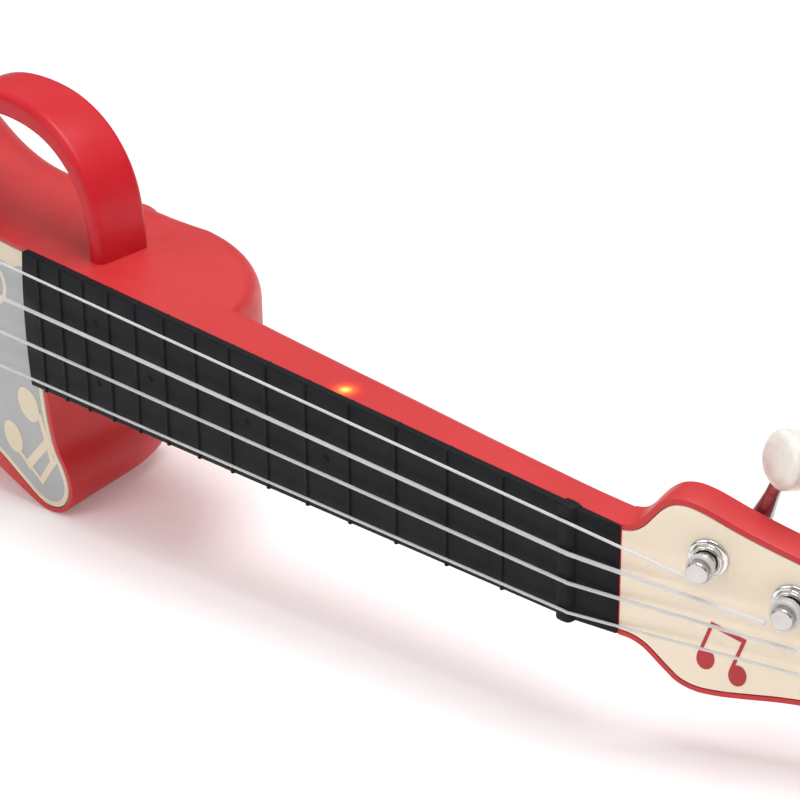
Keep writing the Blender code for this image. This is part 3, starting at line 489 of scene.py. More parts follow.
RED = housing_red()
HANDLE_RED = moulded("handle_red_moulded", (0.520, 0.008, 0.016), (0.570, 0.012, 0.022), (0.32, 0.42),
                     Specular_IOR_Level=0.28)
PART_RED = moulded("red_plastic_moulded", (0.560, 0.022, 0.030), (0.600, 0.030, 0.038), (0.38, 0.48))
BLACK = moulded("fretboard_black_moulded", (0.0065, 0.007, 0.0085), (0.009, 0.0095, 0.012), (0.46, 0.58),
                grain=1900.0, depth=0.00005, strength=0.35, Specular_IOR_Level=0.14)
PLATE = moulded("plate_grey_satin", (0.395, 0.405, 0.41), (0.425, 0.435, 0.44), (0.36, 0.46))
PRINT = moulded("plate_print_cream", (0.70, 0.60, 0.44), (0.75, 0.66, 0.50), (0.40, 0.50), depth=0.00002)
CREAM = moulded("headstock_cream_satin", (0.86, 0.73, 0.57), (0.90, 0.78, 0.62), (0.38, 0.48),
                depth=0.00002)
MARK_RED = moulded("head_print_red", (0.42, 0.015, 0.02), (0.48, 0.02, 0.03), (0.40, 0.50))
BRIDGE_BLACK = moulded("bridge_black_moulded", (0.014, 0.014, 0.016), (0.02, 0.02, 0.022), (0.40, 0.52))
SADDLE = moulded("saddle_white_polished", (0.78, 0.75, 0.68), (0.84, 0.82, 0.76), (0.22, 0.32))
STRING = nylon("string_nylon", 0.66)
WINDING = nylon("string_nylon_wound", 0.40)
CHROME = metal("tuner_chrome_polished", (0.66, 0.65, 0.64), (0.74, 0.73, 0.72), (0.08, 0.16))
# the posts' chrome is a darker, rougher copy of the bushings' chrome: the higher roughness is a satin finish,
# the darker base is painted shade that keeps the post ends less bright than the bushings
SHADED_POST_CHROME = metal("post_chrome_satin", (0.50, 0.48, 0.47), (0.58, 0.56, 0.55), (0.18, 0.28))
STEEL = metal("tuner_steel_nickel", (0.36, 0.35, 0.35), (0.44, 0.43, 0.43), (0.14, 0.26))
KNOB = pearl()
BUTTON = moulded("button_cream_satin", (0.76, 0.62, 0.43), (0.80, 0.67, 0.49), (0.36, 0.46))
ICON = moulded("button_print_red", (0.45, 0.02, 0.03), (0.50, 0.03, 0.04), (0.40, 0.50))
JACKET = moulded("cell_jacket_green", (0.03, 0.14, 0.07), (0.05, 0.18, 0.09), (0.25, 0.35))
NICKEL = metal("contact_nickel_sprung", (0.55, 0.55, 0.52), (0.66, 0.66, 0.62), (0.2, 0.32))
BASKET = metal("speaker_steel_zinc", (0.26, 0.26, 0.27), (0.34, 0.34, 0.35), (0.32, 0.45))
PAPER = moulded("speaker_paper_pulp", (0.025, 0.025, 0.025), (0.05, 0.05, 0.05), (0.75, 0.9),
                grain=1200.0, depth=0.0001, strength=0.6)
MASK = circuit()
BRASS = metal("piezo_brass_disc", (0.58, 0.42, 0.15), (0.68, 0.50, 0.20), (0.2, 0.32))
SCREW = metal("screw_steel_zinc", (0.45, 0.45, 0.46), (0.56, 0.56, 0.56), (0.2, 0.35))
TRAY = moulded("tray_black_moulded", (0.018, 0.018, 0.018), (0.03, 0.03, 0.03), (0.45, 0.6))

# ---------------------------------------------------------------- body outline
# x, z on the front rim, how far the side runs straight back, and the inset at the flat back
OUTLINE = (
    (-217.0, 21.5, 42, 13), (-226.0, 23.1, 41, 15), (-240.0, 23.5, 40, 15), (-252.0, 24.0, 39, 15),
    (-262.0, 25.2, 37, 16), (-271.0, 28.0, 33, 18), (-281.0, 34.0, 27, 21), (-293.0, 44.0, 22, 24),
    (-309.0, 57.0, 20, 25), (-330.0, 69.5, 22, 25), (-356.0, 78.5, 25, 25), (-385.0, 82.0, 28, 24),
    (-415.0, 79.0, 30, 24), (-443.0, 67.5, 30, 24), (-464.0, 47.5, 30, 24), (-476.5, 24.0, 30, 24),
    (-480.5, 0.0, 30, 24), (-476.5, -24.0, 30, 24), (-464.0, -47.5, 30, 24),
    (-443.0, -67.5, 32, 24), (-415.0, -79.0, 36, 24), (-385.0, -82.0, 38, 24),
    (-356.0, -78.5, 36, 24), (-330.0, -69.5, 32, 22), (-309.0, -59.5, 30, 20),
    (-290.0, -51.6, 28, 18), (-272.0, -50.4, 30, 16), (-256.8, -54.6, 34, 15),
    (-243.3, -60.3, 38, 14), (-229.0, -65.6, 42, 13), (-219.2, -68.5, 44, 12),
    (-213.5, -68.0, 42, 13), (-208.6, -65.6, 30, 15), (-205.3, -60.8, 16, 17),
    (-204.6, -55.8, 8, 18), (-206.4, -50.2, 4, 18), (-210.0, -44.2, 4, 14),
    (-212.2, -36.0, 6, 11), (-213.5, -25.0, 10, 9), (-213.8, -14.0, 30, 4),
    (-213.8, 0.0, 38, 4), (-213.8, 12.0, 42, 8))
outline = spline(OUTLINE, 208 * FINE)
front = outline[:, :2]
straight, inset = outline[:, 2], outline[:, 3]
toward_inside = inward(front, 12 * FINE)
# the horn also narrows steadily toward the back, most of all at its tip
draft = 0.115 * np.exp(-((front[:, 0] + 214.0) ** 2 + (front[:, 1] + 65.0) ** 2) / 15.0 ** 2)
# the red rim is widest along the treble side of the waist
wider = 4.2 * np.exp(-((front[:, 0] + 246.0) / 20.0) ** 2) * (front[:, 1] < 0.0)


def body_ring(y, shrink):
    """The body's section at depth y, drawn in by `shrink`."""
    depth = np.clip((y - straight) / (BODY_DEPTH - straight), 0.0, 1.0)
    draw = inset * (1.0 - np.sqrt(np.clip(1.0 - depth ** 2, 0.0, 1.0))) + draft * y + shrink
    pts = front + toward_inside * draw[:, None]
    return [(float(x), float(y), float(z)) for x, z in pts]


def side_ring(part, swing=0.0, shrink=0.0):
    """Ring of the outer skin: `part` of the straight side, then `swing` round to the back."""
    y = straight * part + (BODY_DEPTH - straight) * math.sin(swing)
    draw = inset * (1.0 - math.cos(swing)) + draft * y + shrink
    pts = front + toward_inside * draw[:, None]
    return [(float(x), float(d), float(z)) for (x, z), d in zip(pts, y)]


def plate_outline(shrink):
    """The front rim drawn in by `shrink`, and further along the treble waist."""
    pts = front + inward(front, 4 * FINE) * (shrink + wider)[:, None]
    return [(float(x), float(z)) for x, z in pts]


def neck_ring(x, w, side, corner_z, corner_y, crown, steps=12):
    """Section of the neck at x: straight sides, rounded corners and a crowned back."""
    half = [(0.0, w), (side * 0.5, w)]
    for k in range(steps + 1):
        a = math.pi / 2 * k / steps
        half.append((side + corner_y * math.sin(a), w - corner_z * (1.0 - math.cos(a))))
    flat = w - corner_z
    back = [(side + corner_y + crown * (1.0 - f * f), f * flat) for f in (0.67, 0.33, 0.0)]
    other = [(y, -z) for y, z in reversed(half + back[:2])]
    return [(x, y, z) for y, z in half + back + other]


HEEL_X, HEEL_LONG, HEEL_DEEP, HEEL_BACK = -190.6, 48.0, 38.3, 54.1
HEEL_ROUND = 8.7         # corner radius of the heel's end
# the headstock's edge seen from its face: t along it, z across it
HEAD_OUTLINE = (
    (0.0, 16.6), (2.6, 17.0), (4.9, 18.6), (7.1, 21.4), (9.6, 24.4), (12.6, 26.6), (16.6, 27.4),
    (21.3, 26.6), (30.8, 23.1), (39.9, 20.1), (48.2, 17.7), (60.0, 14.3), (75.0, 9.8), (88.0, 5.8),
    (97.0, 2.0), (103.5, -3.4), (106.4, -10.4), (104.4, -17.6), (98.0, -22.2), (88.0, -23.4), (75.0, -23.7),
    (60.0, -24.4), (45.1, -25.7), (35.8, -27.2), (28.0, -28.3), (21.6, -28.4), (16.6, -26.9),
    (13.2, -24.3), (9.8, -21.3), (6.8, -18.8), (3.4, -17.2), (0.0, -16.7))
head_edge = spline(HEAD_OUTLINE, 144 * FINE, closed=False)
head_in = inward(head_edge, 2)
for k, a, b in ((0, 0, 1), (1, 0, 2), (2, 0, 4), (-3, -5, -1), (-2, -3, -1), (-1, -2, -1)):
    way = head_edge[b] - head_edge[a]
    head_in[k] = np.array((way[1], -way[0])) / math.hypot(*way)


def head_ring(n, shrink, start=0.0):
    """The headstock's section at depth n, drawn in by `shrink` and cut off below `start`."""
    pts = head_edge + head_in * shrink
    pts[:, 0] = np.maximum(pts[:, 0], start)
    return [head_point(float(t), float(z), n) for t, z in pts]


def tuner_holes(depth):
    return [lathe("hole", [(3.9, -2.0), (3.9, depth)], tuner_point(i, 0, 0, 0), HEAD_N, HEAD_U, 40)
            for i in range(4)]


def neck_solid():
    """Heel block with its rounded end, then the shaft up to the headstock."""
    # x, how far the side stands inside the neck's, its depth, and the corner's two radii
    block = ((-262, 4.0, 33.0, 14.0, 16.0), (-250, 2.6, 36.0, 14.0, 16.0), (-238, 1.4, 38.5, 14.0, 16.0),
             (-228, 0.5, 40.5, 14.0, 15.6), (-220, 0.0, 41.4, 13.4, 14.9),
             (-212, -0.1, 42.1, 12.6, 13.5), (-205, -0.1, 42.8, 11.5, 12.0),
             (-197, -0.1, 44.2, 10.0, 10.0), (HEEL_X, -0.1, 45.4, HEEL_ROUND, HEEL_ROUND))
    # x, depth of the side, the corner's two radii, and how far the back is crowned
    shaft = ((-143.2, 12.9, 8.0, 8.0, 1.5), (-110, 11.3, 8.0, 8.0, 1.5), (-75, 9.9, 8.0, 8.0, 1.5),
             (-40, 8.3, 8.0, 8.0, 1.5), (-15, 7.9, 7.5, 7.0, 1.2), (0, 8.0, 6.0, 5.5, 0.8),
             (8, 8.4, 4.4, 4.2, 0.4), (13.3, 8.9, 3.0, 3.0, 0.2), (17.3, 9.4, 2.4, 2.6, 0.0))
    stations = []
    for x in np.linspace(-262.0, HEEL_X, 24):
        dip, side, corner_z, corner_y = (float(np.interp(x, [r[0] for r in block], [r[c] for r in block]))
                                         for c in (1, 2, 3, 4))
        stations.append((float(x), half_width(x) - dip, side, corner_z, corner_y, 0.0))
    for k in range(1, 29):
        a = math.radians(78.0 * k / 28)
        x = HEEL_X + HEEL_LONG * math.sin(a) ** 1.1
        depth = HEEL_BACK - HEEL_DEEP + HEEL_DEEP * math.cos(a) ** 1.2
        stations.append((x, half_width(x), depth - HEEL_ROUND, HEEL_ROUND, HEEL_ROUND, 0.0))
    smooth = spline([(r[0], 0.0) + r[1:] for r in shaft], 46, closed=False)
    for x, _, side, corner_z, corner_y, crown in smooth:
        stations.append((float(x), half_width(x), side, corner_z, corner_y, max(crown, 0.0)))
    return loft("neck", [neck_ring(*r) for r in stations])


def housing():
    """Body, neck and headstock as one moulding with its cavity, seats and holes."""
    rings = [side_ring(0.0, shrink=0.3), side_ring(0.004, shrink=0.08)]
    rings += [side_ring(part) for part in (0.012, 0.35, 0.7)]
    swings = 9 * FINE
    rings += [side_ring(1.0, math.pi / 2 * k / swings) for k in range(swings + 1)]
    body = loft("housing", rings)
    head = loft("head", [head_ring(0.0, 0.5), head_ring(0.15, 0.15), head_ring(0.5, 0.0),
                         head_ring(HEAD_T - 2.0, 0.0), head_ring(HEAD_T - 1.3, 0.2),
                         head_ring(HEAD_T - 0.6, 0.6), head_ring(HEAD_T - 0.15, 1.3),
                         head_ring(HEAD_T, 2.0)])
    combine(body, [neck_solid(), head], "UNION")
    cavity = loft("cavity", [body_ring(y, 3.6 + wider) for y in (-5, 8)] + [body_ring(20, 3.6)]
                  + [body_ring(y, WALL) for y in (31, 40, 47, 51.5, BODY_DEPTH - WALL)])
    channel = box("channel", -190.0, -4.0, -2.0, 9.0, -9.0, 9.0)
    seat = prism("seat", plate_outline(RIM), -5.0, PLATE_T + 0.1)
    face_seat = loft("face_seat", [head_ring(-4.0, 1.6, -0.1), head_ring(FACE_T + 0.2, 1.6, -0.1)])
    door_open = box("door_open", DOOR[0], DOOR[1], 50.0, 62.0, DOOR[2], DOOR[3])
    around = [(DOOR_SCREW_X + 5.5 * math.cos(a), 5.5 * math.sin(a))
              for a in (math.pi * (k / 24 - 0.5) for k in range(25))]
    pocket = prism("ear_pocket", [(DOOR[1] - 1.0, -5.5)] + around + [(DOOR[1] - 1.0, 5.5)],
                   EAR_FRONT - 0.3, 62.0)
    boss = lathe("boss", [(6.5, 0.0), (6.5, 14.5)], (DOOR_SCREW_X, 41.5, 0.0), (0, 1, 0), (1, 0, 0))
    pin_hole = lathe("pin_hole", [(3.2, -12.0), (3.2, 12.0)], PIN_AT, (1, 0, 0), (0, 1, 0))
    combine(body, [cavity, channel, seat, face_seat, door_open, pin_hole] + tuner_holes(HEAD_T + 3.0),
            "DIFFERENCE")
    combine(body, boss, "UNION")
    combine(body, pocket, "DIFFERENCE")
    return finish(body, RED, ("rear_housing", "neck_housing"), angle=32)


# ---------------------------------------------------------------- handle
HANDLE_PATH = ((-195.6, 17.0, 6.2), (-195.9, 26.0, 6.2), (-196.6, 33.5, 6.2), (-198.3, 41.0, 6.5),
               (-201.8, 48.0, 7.0), (-207.3, 54.2, 7.4), (-214.0, 58.8, 7.7), (-223.0, 62.0, 8.0),
               (-235.0, 63.2, 8.0), (-247.0, 62.0, 8.0), (-256.0, 58.8, 7.7),
               (-263.0, 53.8, 7.4), (-268.6, 47.0, 7.0), (-272.6, 39.5, 6.6),
               (-275.0, 31.0, 6.6), (-276.0, 22.0, 6.6))


def handle():
    path = spline(HANDLE_PATH, 60 * FINE, closed=False)
    tangents = np.gradient(path[:, :2], axis=0)
    mid_y, half_y, round_r = sum(HANDLE_Y) / 2, (HANDLE_Y[1] - HANDLE_Y[0]) / 2, 2.4
    rings = []
    for (x, z, thick), (tx, tz) in zip(path, tangents):
        length = math.hypot(tx, tz)
        nx, nz = -tz / length, tx / length
        ring = []
        for y_side, r_side, start in ((1, 1, 0), (1, -1, 90), (-1, -1, 180), (-1, 1, 270)):
            for a in range(0, 91, 10):
                ang = math.radians(start + a)
                cy = mid_y + y_side * (half_y - round_r) + round_r * math.sin(ang)
                cr = r_side * (thick / 2 - round_r) + round_r * math.cos(ang)
                ring.append((x + nx * cr, cy, z + nz * cr))
        rings.append(ring)
    return finish(loft("handle_grip", rings), HANDLE_RED, ("handle",))


# ---------------------------------------------------------------- front plate and its print
def board_notch(behind, beside, y1):
    """Cutter round the fretboard's end, standing off by `behind` and `beside`."""
    w = half_width(BOARD_TAIL) + beside
    edge, bow = BOARD_TAIL - behind, BOARD_TAIL - behind - 1.1
    return prism("notch", [(edge, w), (bow, 8.0), (bow, -8.0), (edge, -w), (-190.0, -w), (-190.0, w)],
                 -2.0, y1)


def plate():
    edge = [plate_outline(RIM + 0.45), plate_outline(RIM + 0.2)]
    solid = loft("plate_panel", [[(x, 0.0, z) for x, z in edge[0]], [(x, 0.25, z) for x, z in edge[1]],
                                 [(x, PLATE_T, z) for x, z in edge[1]]])
    cutters = [board_notch(0.4, 0.4, PLATE_T + 1.0)]
    for k in range(10):
        a = 2 * math.pi * k / 10
        slot = []
        for radius, way in ((12.0, 1), (20.0, -1)):
            for s in range(9):
                b = a + way * math.radians(-10 + 2.5 * s)
                slot.append((SPEAKER_X + radius * math.cos(b), radius * math.sin(b)))
        cutters.append(prism("slot", slot, -1.0, PLATE_T + 1.0))
    for _, bx, bz in BUTTONS:
        cutters.append(lathe("hole", [(BUTTON_R + 0.35, -1.0), (BUTTON_R + 0.35, PLATE_T + 1.0)],
                             (bx, 0.0, bz)))
    combine(solid, cutters, "DIFFERENCE")
    return finish(solid, PLATE, ("front_plate",))


PRINT_Y = (-0.07, -0.01)     # printed shapes stand this far in front of their surface


def oval(x, z, rx, rz, turned, steps=40):
    c, s = math.cos(turned), math.sin(turned)
    return [(x + rx * math.cos(a) * c - rz * math.sin(a) * s, z + rx * math.cos(a) * s + rz * math.sin(a) * c)
            for a in (2 * math.pi * k / steps for k in range(steps))]


def bar(a, b, width):
    """Straight stroke from a to b."""
    a, b = np.array(a), np.array(b)
    d = (b - a) / np.linalg.norm(b - a) * width / 2
    n = np.array((-d[1], d[0]))
    return [tuple(p) for p in (a - n, b - n, b + n, a + n)]


def thin_shape(name, outlines, y0, y1):
    """Flat shapes joined into one thin piece."""
    whole = prism(name, outlines[0], y0, y1)
    for points in outlines[1:]:
        combine(whole, prism("shape", points, y0, y1), "UNION")
    return whole


def printed(name, outlines, lift=0.0, within=None):
    """Cream print on the front plate, cut to the outline `within`."""
    whole = thin_shape(name, outlines, PRINT_Y[0] - lift, PRINT_Y[1] - lift)
    if within:
        combine(whole, prism("within", within, -1.0, 1.0), "INTERSECT")
    return finish(whole, PRINT)


def note_shapes(x, z, turned, size, beams):
    """Outlines of one (beams 0) or two joined quavers; stems run along `turned`."""
    s = np.array((math.cos(turned), math.sin(turned)))
    b = np.array((-s[1], s[0]))
    at = np.array((x, z))
    shapes = []
    tops = []
    for k in range(2 if beams else 1):
        head_at = at + b * (16.5 * k * size)
        shapes.append(oval(*head_at, 5.6 * size, 4.4 * size, turned + 0.25))
        foot = head_at + b * (3.7 * size)
        top = foot + s * (19.0 * size)
        shapes.append(bar(foot, top, 1.7 * size))
        tops.append(top)
    if beams:
        for k in range(beams):
            shapes.append(bar(tops[0] - s * (4.6 * k * size) - b * (0.85 * size),
                              tops[1] - s * (4.6 * k * size) + b * (0.85 * size), 2.5 * size))
    else:
        shapes.append(bar(tops[0], tops[0] - s * (7.0 * size) + b * (5.5 * size), 2.2 * size))
    return shapes


def ring_piece(name, x, z, r_in, r_out):
    profile = [(r_in, PRINT_Y[0]), (r_out, PRINT_Y[0]), (r_out, PRINT_Y[1]), (r_in, PRINT_Y[1])]
    return finish(lathe(name, profile, (x, 0.0, z), steps=96, hollow=True), PRINT)


def border():
    """Cream line round the plate, broad along the waist beside the fretboard."""
    outer = np.array(plate_outline(RIM + 0.46))
    wide = 1.7 + 5.0 * np.exp(-((front[:, 0] + 226.0) / 16.0) ** 2) * (front[:, 1] > 5.0)
    inner = outer + inward(front, 4 * FINE) * wide[:, None]
    rings = []
    for pts, y in ((outer, PRINT_Y[0]), (outer, PRINT_Y[1]), (inner, PRINT_Y[1]), (inner, PRINT_Y[0])):
        rings.append([(float(x), y, float(z)) for x, z in pts])
    line = loft("plate_border", rings, closed=True)
    combine(line, board_notch(0.5, 0.6, 2.0), "DIFFERENCE")
    return finish(line, PRINT)


def plate_print():
    border()
    # the joined quavers on the horn, cut off at the plate's edge
    horn = [oval(-232.3, -46.9, 5.6, 4.3, math.radians(-66)),
            oval(-223.3, -32.4, 6.0, 4.8, math.radians(-62)),
            bar((-230.6, -51.0), (-219.6, -58.4), 1.5), bar((-218.4, -34.0), (-213.2, -50.0), 2.2),
            bar((-226.2, -55.4), (-213.6, -41.4), 3.0), bar((-220.0, -59.2), (-212.0, -48.2), 2.4)]
    printed("plate_note_horn", horn, 0.05, plate_outline(RIM + 0.9))
    notes = (("upper", -322.0, 44.0, 160, 0.9, 2), ("lower", -352.0, -52.0, -160, 1.0, 2),
             ("tail", -452.0, -28.0, 150, 1.0, 0), ("edge", -428.0, 40.0, 35, 1.0, 0),
             ("waist", -262.0, -33.0, 200, 0.7, 0))
    for label, x, z, turned, size, beams in notes:
        printed("plate_note_" + label, note_shapes(x, z, math.radians(turned), size, beams))
    ring_piece("plate_ring_small", -237.6, 6.0, 6.0, 7.6)
    for k, r in enumerate((24.0, 28.5, 33.0)):
        ring_piece("plate_ring_%d" % (k + 1), SPEAKER_X, 0.0, r, r + 1.1)


# ---------------------------------------------------------------- fretboard
def board_ring(x, lift, widen, bulge=0.0, bottom=-0.1):
    """The fretboard's section at x, raised by `lift` and wider by `widen` each side."""
    w = half_width(x) + widen
    top = -BOARD_T - lift
    edge = max(min(0.6, bottom - top - 0.15), 0.05)
    half = [(bottom, w)]
    for k in range(5):
        a = math.pi / 2 * k / 4
        half.append((top + edge * (1 - math.sin(a)), w - edge * (1 - math.cos(a))))
    mids = [(top, w * f) for f in (0.8, 0.55, 0.28, 0.0)]
    ring = half + mids + [(y, -z) for y, z in reversed(half + mids[:3])]
    under = [(bottom, w * f) for f in (-0.8, -0.55, -0.28, 0.0, 0.28, 0.55, 0.8)]
    pts = ring + under
    return [(x + bulge * (1.0 - (z / w) ** 2), y, z) for y, z in pts]


def fretboard():
    rings = [board_ring(BOARD_TAIL, -0.25, -0.25, -1.2), board_ring(BOARD_TAIL + 0.3, 0.0, 0.0, -1.2)]
    for n in range(FRETS, 0, -1):
        x = fret_x(n)
        rings.append(board_ring(x - 0.95, 0.0, 0.0))
        for step, up in ((-0.62, 0.0), (-0.56, 0.35), (-0.4, 0.75), (-0.2, 0.95), (0.0, 1.0), (0.2, 0.95),
                         (0.4, 0.75), (0.56, 0.35), (0.62, 0.0)):
            rings.append(board_ring(x + step, FRET_SHOWN * up, 0.2 * up))
        rings.append(board_ring(x + 0.95, 0.0, 0.0))
    for x, lift, widen in ((-1.75, 0.0, 0.0), (-1.55, 0.5, 0.3), (-1.2, 1.1, 0.55), (-0.6, 1.42, 0.75),
                           (0.4, 1.5, 0.8), (1.8, 1.5, 0.8), (2.8, 1.4, 0.74), (3.5, 1.05, 0.5),
                           (4.0, 0.4, 0.2), (4.2, -0.1, 0.0), (6.0, -0.3, 0.0), (9.0, -0.75, 0.0)):
        rings.append(board_ring(x, lift, widen))
    rings.append(board_ring(BOARD_HEAD - 0.2, -1.78, -0.05))
    rings.append(board_ring(BOARD_HEAD + 0.15, -1.98, -0.25))
    board = loft("fretboard_moulding", rings)
    dots = []
    for n, places in ((5, (-0.8,)), (7, (-0.8,)), (10, (-0.8,)), (12, (9.6, -10.6))):
        x = 0.5 * (fret_x(n) + fret_x(n - 1))
        for z in places:
            dots.append(lathe("dot", [(0.4, -0.45), (1.2, -0.2), (1.5, 0.4)], (x, -BOARD_T, z),
                              axis=(0, -1, 0), steps=24))
    combine(board, dots, "DIFFERENCE")
    return finish(board, BLACK, ("fretboard",), angle=40)


# ---------------------------------------------------------------- headstock face and its sign
def head_face():
    face = loft("headstock_panel", [head_ring(0.05, 2.0, 0.2), head_ring(0.2, 1.85, 0.1),
                                    head_ring(FACE_T, 1.85, 0.1)])
    combine(face, tuner_holes(4.0), "DIFFERENCE")
    return finish(face, CREAM, ("headstock_face",))


def head_sign():
    """A plain music-note sign, printed on the headstock."""
    tilt_to_head = Matrix.Translation((BOARD_HEAD + 0.3, 0.0, 0.0)) @ Matrix.Rotation(HEAD_TILT, 4, "Z")
    whole = thin_shape("headstock_sign", note_shapes(33.0, -20.5, math.radians(72.0), 0.56, 1), *PRINT_Y)
    whole.data.transform(tilt_to_head)
    return finish(whole, MARK_RED)


# ---------------------------------------------------------------- bridge, saddle, strings
def bridge():
    from_cad("bridge", "bridge_moulding", BRIDGE_BLACK, 0.35, 3)
    from_cad("saddle", "saddle_bar", SADDLE, 0.2, 3)


def strings():
    for i, name in enumerate(("g", "c", "e", "a")):
        r = STRING_R[i]
        zn, zs = STRING_Z_NUT[i], STRING_Z_SADDLE[i]
        wrap = POST_R + 0.12 + r
        arrive = Vector(tuner_point(i, 0.0, 0.0, WRAP_N)) - HEAD_V * wrap
        nut_out = Vector((3.4, -4.1 - r - 0.08, zn))
        # the string ends just short of the windings, which turn with the post
        stop = arrive - (arrive - nut_out).normalized() * math.sqrt((wrap + 2.0 * r + 0.12) ** 2 - wrap ** 2)
        pts = [(-395.2, -1.75, zs), (-394.6, -1.75, zs), (-393.6, -1.9, zs), (-393.0, -2.3, zs),
               (-392.2, -2.7 - r * 0.3, zs), (-386.5, -3.9 - r * 0.5, zs),
               (-381.6, SADDLE_STRING_Y + 0.5, zs), (-380.6, SADDLE_STRING_Y + 0.06, zs),
               (-379.4, SADDLE_STRING_Y + 0.02, zs),
               (-200.0, SADDLE_STRING_Y + (NUT_STRING_Y - SADDLE_STRING_Y) * 180 / 380.0,
                zs + (zn - zs) * 180 / 380.0),
               (-0.2, -4.12 - r, zn), (2.4, -4.1 - r, zn), tuple(nut_out), tuple(stop)]
        radii = [0.3, 1.1, 1.2, 0.8] + [r] * (len(pts) - 4)
        finish(tube("string_line_" + name, pts, radii, 16), STRING,
               ("string_" + name,), angle=60)
        coil = []
        turns, pitch, per = 2.25, 2.0 * r + 0.12, 28
        for k in range(int(turns * per) + 1):
            a = -math.pi / 2 + 2 * math.pi * k / per
            coil.append(tuner_point(i, wrap * math.cos(a), wrap * math.sin(a), WRAP_N + pitch * k / per))
        finish(tube("string_winding_%d" % (i + 1), coil, r, 10, up=HEAD_N), WINDING,
               ("winding_%d" % (i + 1),), "post_%d" % (i + 1), angle=60)


# ---------------------------------------------------------------- tuners
def tuner(i):
    k = i + 1
    base = tuner_point(i, 0, 0, 0)
    washer = [(3.3, -2.05), (3.9, -2.2), (4.15, -2.05), (4.3, -1.5), (4.4, -0.95), (5.0, -0.8), (5.35, -0.6),
              (5.45, -0.3), (5.45, -0.1), (3.75, -0.1), (3.75, 6.0), (3.25, 6.0)]
    finish(lathe("bushing_%d" % k, rounded(washer + washer[:1], 0.25)[:-1], base, HEAD_N, HEAD_U, 72,
                 hollow=True), CHROME, ("tuner_bushing_%d" % k,), angle=60)
    from_cad("tuner_plate_%d" % k, "tuner_bracket_%d" % k, STEEL, 0.25, 3)
    profile = rounded([(0.02, -9.0), (2.7, -9.0), (POST_R, -8.6), (POST_R, -7.6), (2.85, -7.3),
                       (2.85, -4.6), (POST_R, -4.2), (POST_R, WORM_DEPTH + 2.1), (0.02, WORM_DEPTH + 2.2)],
                      0.3)
    post = lathe("post_pin_%d" % k, profile, base, HEAD_N, HEAD_U, 56)
    ring = []
    for tooth in range(GEAR_TEETH):
        for frac, radius in ((0.0, 3.3), (0.3, 3.3), (0.4, 3.6), (0.48, 3.85), (0.7, 3.85), (0.78, 3.6)):
            a = 2 * math.pi * (tooth + frac) / GEAR_TEETH
            ring.append((radius * math.cos(a), radius * math.sin(a)))
    gear = loft("gear", [[tuner_point(i, u, v, n) for u, v in ring]
                         for n in (WORM_DEPTH - 1.7, WORM_DEPTH + 1.7)])
    combine(post, gear, "UNION")
    finish(post, SHADED_POST_CHROME, ("tuner_post_%d" % k,), "post_%d" % k)
    worm_at = tuner_point(i, WORM_OFFSET, 0, WORM_DEPTH)
    rows = [(0.02, -7.4)] + rounded([(1.0, -7.4), (1.3, -7.1), (1.3, -4.3), (1.6, -4.0)], 0.15)
    rows += [(1.72, -4.0 + 0.16 * j) for j in range(51)]
    rows += rounded([(1.6, 4.05), (1.3, 4.3), (1.3, 6.4), (2.9, 6.6), (3.0, 8.2), (2.9, 9.4), (2.35, 13.0),
                     (2.0, 16.0), (1.9, 19.5)], 0.4) + [(0.02, 19.5)]

    def thread(a, h):
        return 0.17 * math.cos(a - 2 * math.pi * h / 1.6) if -4.0 <= h <= 4.01 else 0.0

    finish(lathe("worm_shaft_%d" % k, rows, worm_at, HEAD_V, HEAD_U, 40, wobble=thread), STEEL,
           ("tuner_worm_%d" % k,), "knob_%d" % k, angle=50)
    finish(knob(i), KNOB, ("tuner_knob_%d" % k,), "knob_%d" % k, angle=60)


def knob(i):
    """Pearly paddle: a flat oval with firm edges, a waisted neck and a crowned end."""
    control = ((19.6, 2.8, 2.3), (19.9, 3.5, 2.7), (20.6, 4.8, 3.1), (21.8, 6.1, 3.5), (23.6, 7.2, 3.75),
               (26.2, 7.8, 3.8), (28.8, 7.6, 3.75), (31.0, 6.8, 3.5), (32.6, 5.5, 3.1), (33.6, 4.1, 2.5),
               (34.05, 2.6, 1.7), (34.2, 1.0, 0.7))
    rings = []
    for v, half_u, half_n in spline(control, 34, closed=False):
        ring = []
        for j in range(72):
            a = 2 * math.pi * j / 72
            across = half_u * math.copysign(abs(math.cos(a)) ** 0.36, math.cos(a))
            thick = half_n * math.copysign(abs(math.sin(a)) ** 0.36, math.sin(a))
            thick *= 1.0 - 0.12 * (across / half_u) ** 2
            ring.append(tuner_point(i, WORM_OFFSET + across * KNOB_COS - thick * KNOB_SIN, v,
                                    WORM_DEPTH - across * KNOB_SIN - thick * KNOB_COS))
        rings.append(ring)
    return loft("knob_paddle_%d" % (i + 1), rings)


